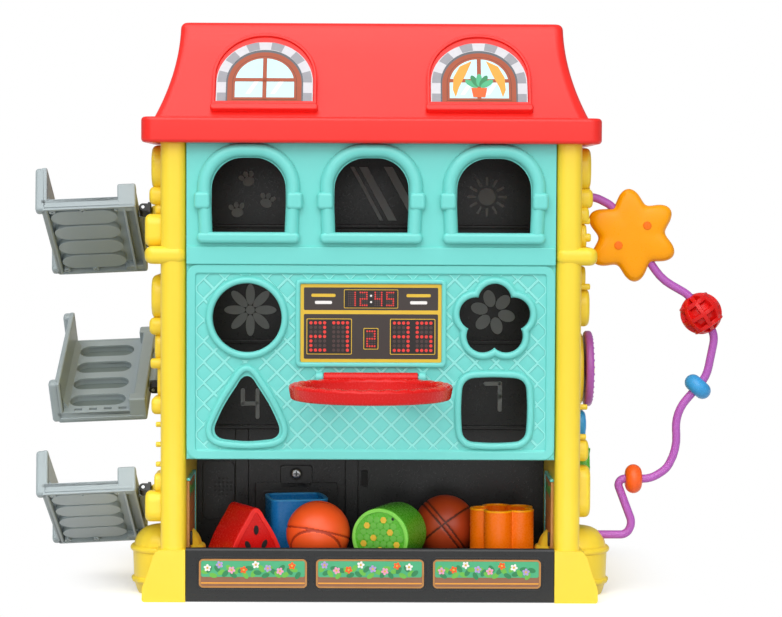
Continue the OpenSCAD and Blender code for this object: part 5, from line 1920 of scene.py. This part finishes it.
@dataclass
class Spinner:
    """Purple spinner disc with a beaded rim and six coloured dots."""

    x: float = 155.0
    y: float = -50.0
    z: float = 161.4
    radius: float = 27.5
    bore: float = 3.06
    dots: int = 6
    beads: int = 30

    def build(self) -> None:
        """Publishes the spinner."""
        r, bore = self.radius, self.bore
        profile = [(bore, -6.5), (6, -6.5), (6, 0.0), (r - 2.4, 0.0)]
        profile += arc(r - 2.0, 2.0, 2.0, -90, 0, 5) + arc(r - 2.0, 3.6, 2.0, 0, 90, 5)
        profile += [(r - 5, 5.4), (r - 6, 4.6), (9, 4.6), (8, 5.5), (bore, 5.5), (bore, -6.5)]
        made = lathe(profile, 96)
        for k in range(self.dots):
            dot = disc(4.6, 32).thick(1.2).soften(0.5).move(y=14.5).turn(360 / self.dots * k, Axis.Z)
            made.add(dot.move(z=4.3), tint=1 + k % 2)
        for k in range(self.beads):
            bead = Form()
            bmesh.ops.create_icosphere(bead.bm, subdivisions=2, radius=1.3)
            made.add(bead.move(r - 3.6, 0, 5.0).turn(360 / self.beads * k, Axis.Z))
        made.turn(90, Axis.Y).move(self.x, self.y, self.z)
        publish(made, "spinner_shell", "spinner", (Paint.PURPLE, Paint.YELLOW, Paint.SKY), ["spinner"])


@dataclass
class Blocks:
    """The four loose blocks: open cups of the sorter shapes with dressed ends."""

    floor: float = 21.0
    gap: float = 1.4
    wall: float = 2.2
    tall: float = 40.0
    square_tall: float = 44.0
    pips: tuple[Place, ...] = (
        (0, 12, 0), (-6.5, 1.5, 28), (6.5, 1.5, -28), (-11, -7, 35), (11, -7, -35), (0, -6, 0),
    )
    comb: float = 5.0
    shapes: Shapes = field(default_factory=Shapes)

    def cup(self, draw: Draw, gap: float, tall: float) -> Form:
        """A cup that stands on its closed end, smaller than its hole by the gap."""
        made = draw(-gap).thick(tall).soften(1.0)
        return made.carve(draw(-gap - self.wall).thick(tall).move(z=self.wall))

    def lying(self, made: Form, turn: float, x: float, y: float) -> Form:
        """Lays a cup down on the floor with its closed end to the front."""
        made.stand(-self.tall / 2).turn(turn, Axis.Z).move(x, y)
        return made.move(z=self.floor - min(v.co.z for v in made.bm.verts))

    def triangle(self) -> None:
        """Publishes the red triangle with its pale rim and oval pips."""
        draw = self.shapes.triangle
        made = self.cup(draw, self.gap, self.tall).turn(180, Axis.Y)
        made.add(draw(-self.gap - 0.2).ring(3.0).thick(0.9).soften(0.35, 2).move(z=-0.2), tint=1)
        for x, y, turn in self.pips:
            pip = disc(1.0, 20).size(1.9, 3.4).turn(turn, Axis.Z).move(x, y)
            made.add(pip.thick(0.7).soften(0.3, 2).move(z=-0.15), tint=2)
        paints = (Paint.CRIMSON, Paint.RED, Paint.BLACK_MARKS_AND_HOLE_SHADE)
        self.lying(made, 27, -90.6, -70)
        publish(made, "triangle_block_shell", "triangle_block", paints, ["triangle_block"])

    def round(self) -> None:
        """Publishes the green round block with its lime rim and honeycomb face."""
        gap, step = 2 * self.gap, self.comb
        made = self.cup(self.shapes.round, gap, self.tall).turn(180, Axis.Y)
        made.add(self.shapes.round(-gap - 0.3).ring(2.6).thick(1.0).soften(0.4).move(z=-0.2), tint=1)
        for row in range(-4, 5):
            for col in range(-4, 5):
                x, y = step * (col + 0.5 * (row % 2)), step * 0.866 * row
                if math.hypot(x, y) < 16.4:
                    cell = disc(2.55, 6).turn(30, Axis.Z).thick(0.7).soften(0.3, 2).move(x, y, -0.15)
                    made.add(cell, tint=2 + (row * 3 + col) % 5 // 4)
        made.add(disc(1.0, 16).thick(0.3).move(9.5, 14.0, 0.25), tint=4)
        paints = (Paint.GREEN, Paint.LIME, Paint.FERN, Paint.GOLD, Paint.BLACK_MARKS_AND_HOLE_SHADE)
        self.lying(made, -20, 14, -73)
        publish(made, "round_block_shell", "round_block", paints, ["round_block"])

    def standing(self, name: str, draw: Draw, tall: float, place: Place, paints: Sequence[Paint]) -> None:
        """Publishes a cup that stands open end up, with a paler lip.

        Args:
            name: The block's node.
            draw: Makes the outline.
            tall: Height of the cup.
            place: X, Y and turn.
            paints: Finishes of the cup and of its lip.
        """
        made = self.cup(draw, self.gap, tall)
        lip = draw(-self.gap + 0.15).ring(self.wall + 0.3).thick(1.6).soften(0.6)
        made.add(lip.move(z=tall - 1.5), tint=1)
        x, y, turn = place
        publish(made.turn(turn, Axis.Z).move(x, y, self.floor), f"{name}_shell", name, paints, [name])

    def build(self) -> None:
        """Publishes all blocks."""
        self.triangle()
        self.round()
        blues, oranges = (Paint.BLUE, Paint.SKY), (Paint.TANGERINE, Paint.ORANGE)
        self.standing("square_block", self.shapes.square, self.square_tall, (-54.5, -32, 10), blues)
        self.standing("flower_block", self.shapes.flower, self.tall, (96.5, -63, 18), oranges)


@dataclass
class Ball:
    """A vinyl ball with moulded seams along circles of its surface.

    Each seam is the direction of its circle's axis, and the circle's place along it as a share of the radius.
    """

    name: str
    place: Place
    paints: tuple[Paint, Paint]
    seams: tuple[tuple[Place, float], ...]
    radius: float = 23.0
    groove: float = 0.6
    half_width: float = 0.95

    def off_seam(self, co: Vector) -> float:
        """Distance of a point from the nearest seam."""
        return min(abs(co.dot(Vector(way).normalized()) - share * self.radius) for way, share in self.seams)

    def sink(self, co: Vector) -> Vector:
        """Lowers a point of the surface where it lies in a seam."""
        share = max(0.0, 1 - self.off_seam(co) / self.half_width)
        return co * (1 - self.groove * min(1.0, 1.8 * share) / self.radius)

    def build(self) -> None:
        """Publishes the ball."""
        made = Form()
        bmesh.ops.create_uvsphere(made.bm, u_segments=232, v_segments=116, radius=self.radius)
        for face in made.bm.faces:
            face.material_index = int(self.off_seam(face.calc_center_median()) < 0.75 * self.half_width)
        made.bend(self.sink).move(*self.place)
        publish(made, f"{self.name}_shell", self.name, self.paints, [self.name], 60)


@dataclass
class InnerPieces:
    """CAD pieces that keep their own shape and only get a finish."""

    edge: float = 0.3
    paints: dict[str, Paint] = field(
        default_factory=lambda: {
            "base_plate": Paint.BLACK, "battery_box": Paint.BLACK, "battery_cells": Paint.JACKET,
            "battery_contacts": Paint.STEEL, "circuit_board": Paint.BOARD, "speaker": Paint.FRAME,
            "hoop_pin": Paint.STEEL, "hinge_bar_top": Paint.BLACK, "hinge_bar_middle": Paint.BLACK,
            "hinge_bar_bottom": Paint.BLACK, "hinge_pin_top": Paint.STEEL, "hinge_pin_middle": Paint.STEEL,
            "hinge_pin_bottom": Paint.STEEL, "spinner_axle": Paint.YELLOW,
        }
    )

    def dress(self) -> None:
        """Gives each node its finish and softened edges."""
        for name, paint in self.paints.items():
            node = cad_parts[name]
            node.data.materials.clear()
            node.data.materials.append(paint.finish.material())
            weld = node.modifiers.new("weld", "WELD")
            weld.merge_threshold = 0.01 * MM
            edge = node.modifiers.new("edge", "BEVEL")
            edge.width = self.edge * MM
            edge.segments = 2
            edge.limit_method = "ANGLE"
            edge.angle_limit = math.radians(50)
            LOG.info("%s: dressed", name)


@dataclass
class Studio:
    """White sweep, soft light from above and the front, and the camera of the photograph."""

    eye: Place = (0.0, -1815.0, 287.0)
    aim: Place = (14.0, -115.0, 207.6)
    lens: float = 111.8
    roll: float = 0.25
    key_watts: float = 44.0
    front_watts: float = 52.0
    bay_watts: float = 0.05
    ambient: float = 0.34
    glow: float = 0.34
    foot: Point = (160.0, 120.0)
    clear: Point = (4.0, 80.0)

    def paper(self) -> bpy.types.Material:
        """Matt white paper: pale near the object, where it keeps the shadow, and plain white further out.

        Returns:
            The floor's material.
        """
        paper = bpy.data.materials.new("matt_white_paper")
        paper.use_nodes = True
        tree = paper.node_tree
        shader = next(n for n in tree.nodes if n.type == "BSDF_PRINCIPLED")
        place = add_node(tree, "ShaderNodeTexCoord").outputs["Object"]
        path = add_node(tree, "ShaderNodeLightPath")
        seen = add_node(
            tree, "ShaderNodeMath", {"operation": "MAXIMUM"},
            {0: path.outputs["Is Camera Ray"], 1: path.outputs["Is Glossy Ray"]},
        ).outputs["Value"]
        pulp = add_node(tree, "ShaderNodeTexNoise", sockets={"Vector": place, "Scale": 4.0, "Detail": 2.0})
        tone = add_node(
            tree, "ShaderNodeMix", {"data_type": "RGBA"},
            {0: pulp.outputs["Fac"], 6: linear("#FBFBFB"), 7: linear("#F8F8F8")},
        )
        paper_tone = add_node(
            tree, "ShaderNodeMix", {"data_type": "RGBA"}, {0: seen, 6: linear("#C4C4C4"), 7: tone.outputs[2]}
        )
        glow = add_node(tree, "ShaderNodeMath", {"operation": "MULTIPLY"}, {0: seen, 1: self.glow})
        tree.links.new(paper_tone.outputs[2], shader.inputs["Base Color"])
        tree.links.new(glow.outputs["Value"], shader.inputs["Emission Strength"])
        shader.inputs["Roughness"].default_value = 0.9
        shader.inputs["Specular IOR Level"].default_value = 0.1
        shader.inputs["Emission Color"].default_value = WHITE_LIGHT
        away = place
        steps = (
            ("ABSOLUTE", {}), ("SUBTRACT", {1: (self.foot[0] * MM, self.foot[1] * MM, 0.0)}),
            ("MAXIMUM", {1: (0.0, 0.0, 0.0)}),
        )
        for operation, second in steps:
            node = add_node(tree, "ShaderNodeVectorMath", {"operation": operation}, {0: away, **second})
            away = node.outputs["Vector"]
        far = add_node(tree, "ShaderNodeVectorMath", {"operation": "LENGTH"}, {0: away})
        fade = add_node(
            tree, "ShaderNodeMapRange", {"interpolation_type": "SMOOTHSTEP"},
            {"Value": far.outputs["Value"], "From Min": self.clear[0] * MM, "From Max": self.clear[1] * MM},
        )
        share = add_node(
            tree, "ShaderNodeMath", {"operation": "MULTIPLY"}, {0: fade.outputs["Result"], 1: seen}
        )
        white = add_node(tree, "ShaderNodeEmission", sockets={"Color": WHITE_LIGHT, "Strength": 1.0})
        both = add_node(
            tree, "ShaderNodeMixShader",
            sockets={0: share.outputs["Value"], 1: shader.outputs["BSDF"], 2: white.outputs["Emission"]},
        )
        end = next(n for n in tree.nodes if n.type == "OUTPUT_MATERIAL")
        tree.links.new(both.outputs["Shader"], end.inputs["Surface"])
        return paper

    def floor(self) -> None:
        """Lays the floor."""
        made = Form()
        bmesh.ops.create_grid(made.bm, x_segments=1, y_segments=1, size=6000)
        made.size(MM, MM, MM)
        mesh = bpy.data.meshes.new("floor")
        made.bm.to_mesh(mesh)
        made.bm.free()
        mesh.materials.append(self.paper())
        sheet = bpy.data.objects.new("floor", mesh)
        bpy.context.scene.collection.objects.link(sheet)

    def world(self) -> None:
        """White to the camera and through glass, softer as light."""
        world = bpy.data.worlds.new("studio")
        bpy.context.scene.world = world
        world.use_nodes = True
        tree = world.node_tree
        tree.nodes.clear()
        path = add_node(tree, "ShaderNodeLightPath")
        seen = add_node(
            tree, "ShaderNodeMath", {"operation": "MAXIMUM"},
            {0: path.outputs["Is Camera Ray"], 1: path.outputs["Is Transmission Ray"]},
        )
        power = add_node(
            tree, "ShaderNodeMapRange",
            sockets={"Value": seen.outputs["Value"], "To Min": self.ambient, "To Max": 1.0},
        )
        sky = add_node(
            tree, "ShaderNodeBackground", sockets={"Color": WHITE_LIGHT, "Strength": power.outputs["Result"]}
        )
        add_node(tree, "ShaderNodeOutputWorld", sockets={"Surface": sky.outputs["Background"]})

    def lamp(
        self, name: str, place: Place, target: Place, size: Point, watts: float, cone: float = 180.0
    ) -> None:
        """Hangs a soft box; one with a narrow cone doesn't show in reflections.

        Args:
            name: Name of the lamp.
            place: Where it hangs, in millimetres.
            target: What it faces.
            size: Width and height in metres.
            watts: Its power.
            cone: Full angle that its light keeps to, in degrees.
        """
        light = bpy.data.lights.new(name, "AREA")
        light.spread = math.radians(cone)
        light.shape = "RECTANGLE"
        light.size, light.size_y = size
        light.energy = watts
        lamp = bpy.data.objects.new(name, light)
        lamp.location = Vector(place) * MM
        lamp.rotation_euler = (Vector(target) - Vector(place)).to_track_quat("-Z", "Y").to_euler()
        lamp.visible_glossy = cone > 90
        bpy.context.scene.collection.objects.link(lamp)

    def camera(self) -> None:
        """Sets the camera of the photograph."""
        data = bpy.data.cameras.new("photo_view")
        data.lens, data.sensor_width = self.lens, 36.0
        data.clip_start, data.clip_end = 0.05, 50.0
        view = bpy.data.objects.new("photo_view", data)
        view.location = Vector(self.eye) * MM
        facing = (Vector(self.aim) - Vector(self.eye)).to_track_quat("-Z", "Y").to_matrix()
        view.rotation_euler = (facing @ Matrix.Rotation(math.radians(self.roll), 3, "Z")).to_euler()
        bpy.context.scene.collection.objects.link(view)
        bpy.context.scene.camera = view

    def build(self) -> None:
        """Sets the whole studio."""
        bpy.context.scene.view_settings.view_transform = "Standard"
        self.floor()
        self.world()
        self.lamp("key", (-600, -1150, 2200), (0, 0, 200), (2.9, 2.3), self.key_watts)
        self.lamp("front", (250, -2700, 1450), (0, 0, 200), (4.4, 2.2), self.front_watts)
        self.lamp("bay", (0, -620, 50), (0, 0, 45), (0.7, 0.1), self.bay_watts, 26)
        self.camera()


def main() -> None:
    """Builds every piece in order, then the studio."""
    logging.basicConfig(level=logging.INFO, format="%(message)s")
    side, across = (0.1, 0.75, 0.65), (0.75, 0.1, 0.6)
    orange_seams = (((0.18, 0.2, 0.95), 0.0), (side, 0.55), (side, -0.62))
    brown_seams = ((across, 0.04), (across, -0.12), ((-0.6, 0.2, 0.77), 0.0))
    pieces = [
        Roof(), UpperPanel(), LowerPanel(), ScoreBoard(), SideWall(-1), SideWall(1), BaseTray(),
        PlanterLabels(), CoreWall(), BatteryDoor(), RearPanel(), BayLiner(-1), BayLiner(1), WallPlates(),
        Hoop(), *(Ramp(f"ramp_{name}", *hinge) for name, hinge in HINGES.items()),
        BeadWire(), Spinner(), Blocks(),
        Ball("orange_ball", (-37.4, -76, 44), (Paint.VINYL_ORANGE, Paint.SEAM_ORANGE), orange_seams),
        Ball("brown_ball", (55, -39.5, 44), (Paint.VINYL_BROWN, Paint.SEAM_BROWN), brown_seams),
    ]
    for piece in pieces:
        piece.build()
    InnerPieces().dress()
    Studio().build()


if __name__ == "__main__":
    main()
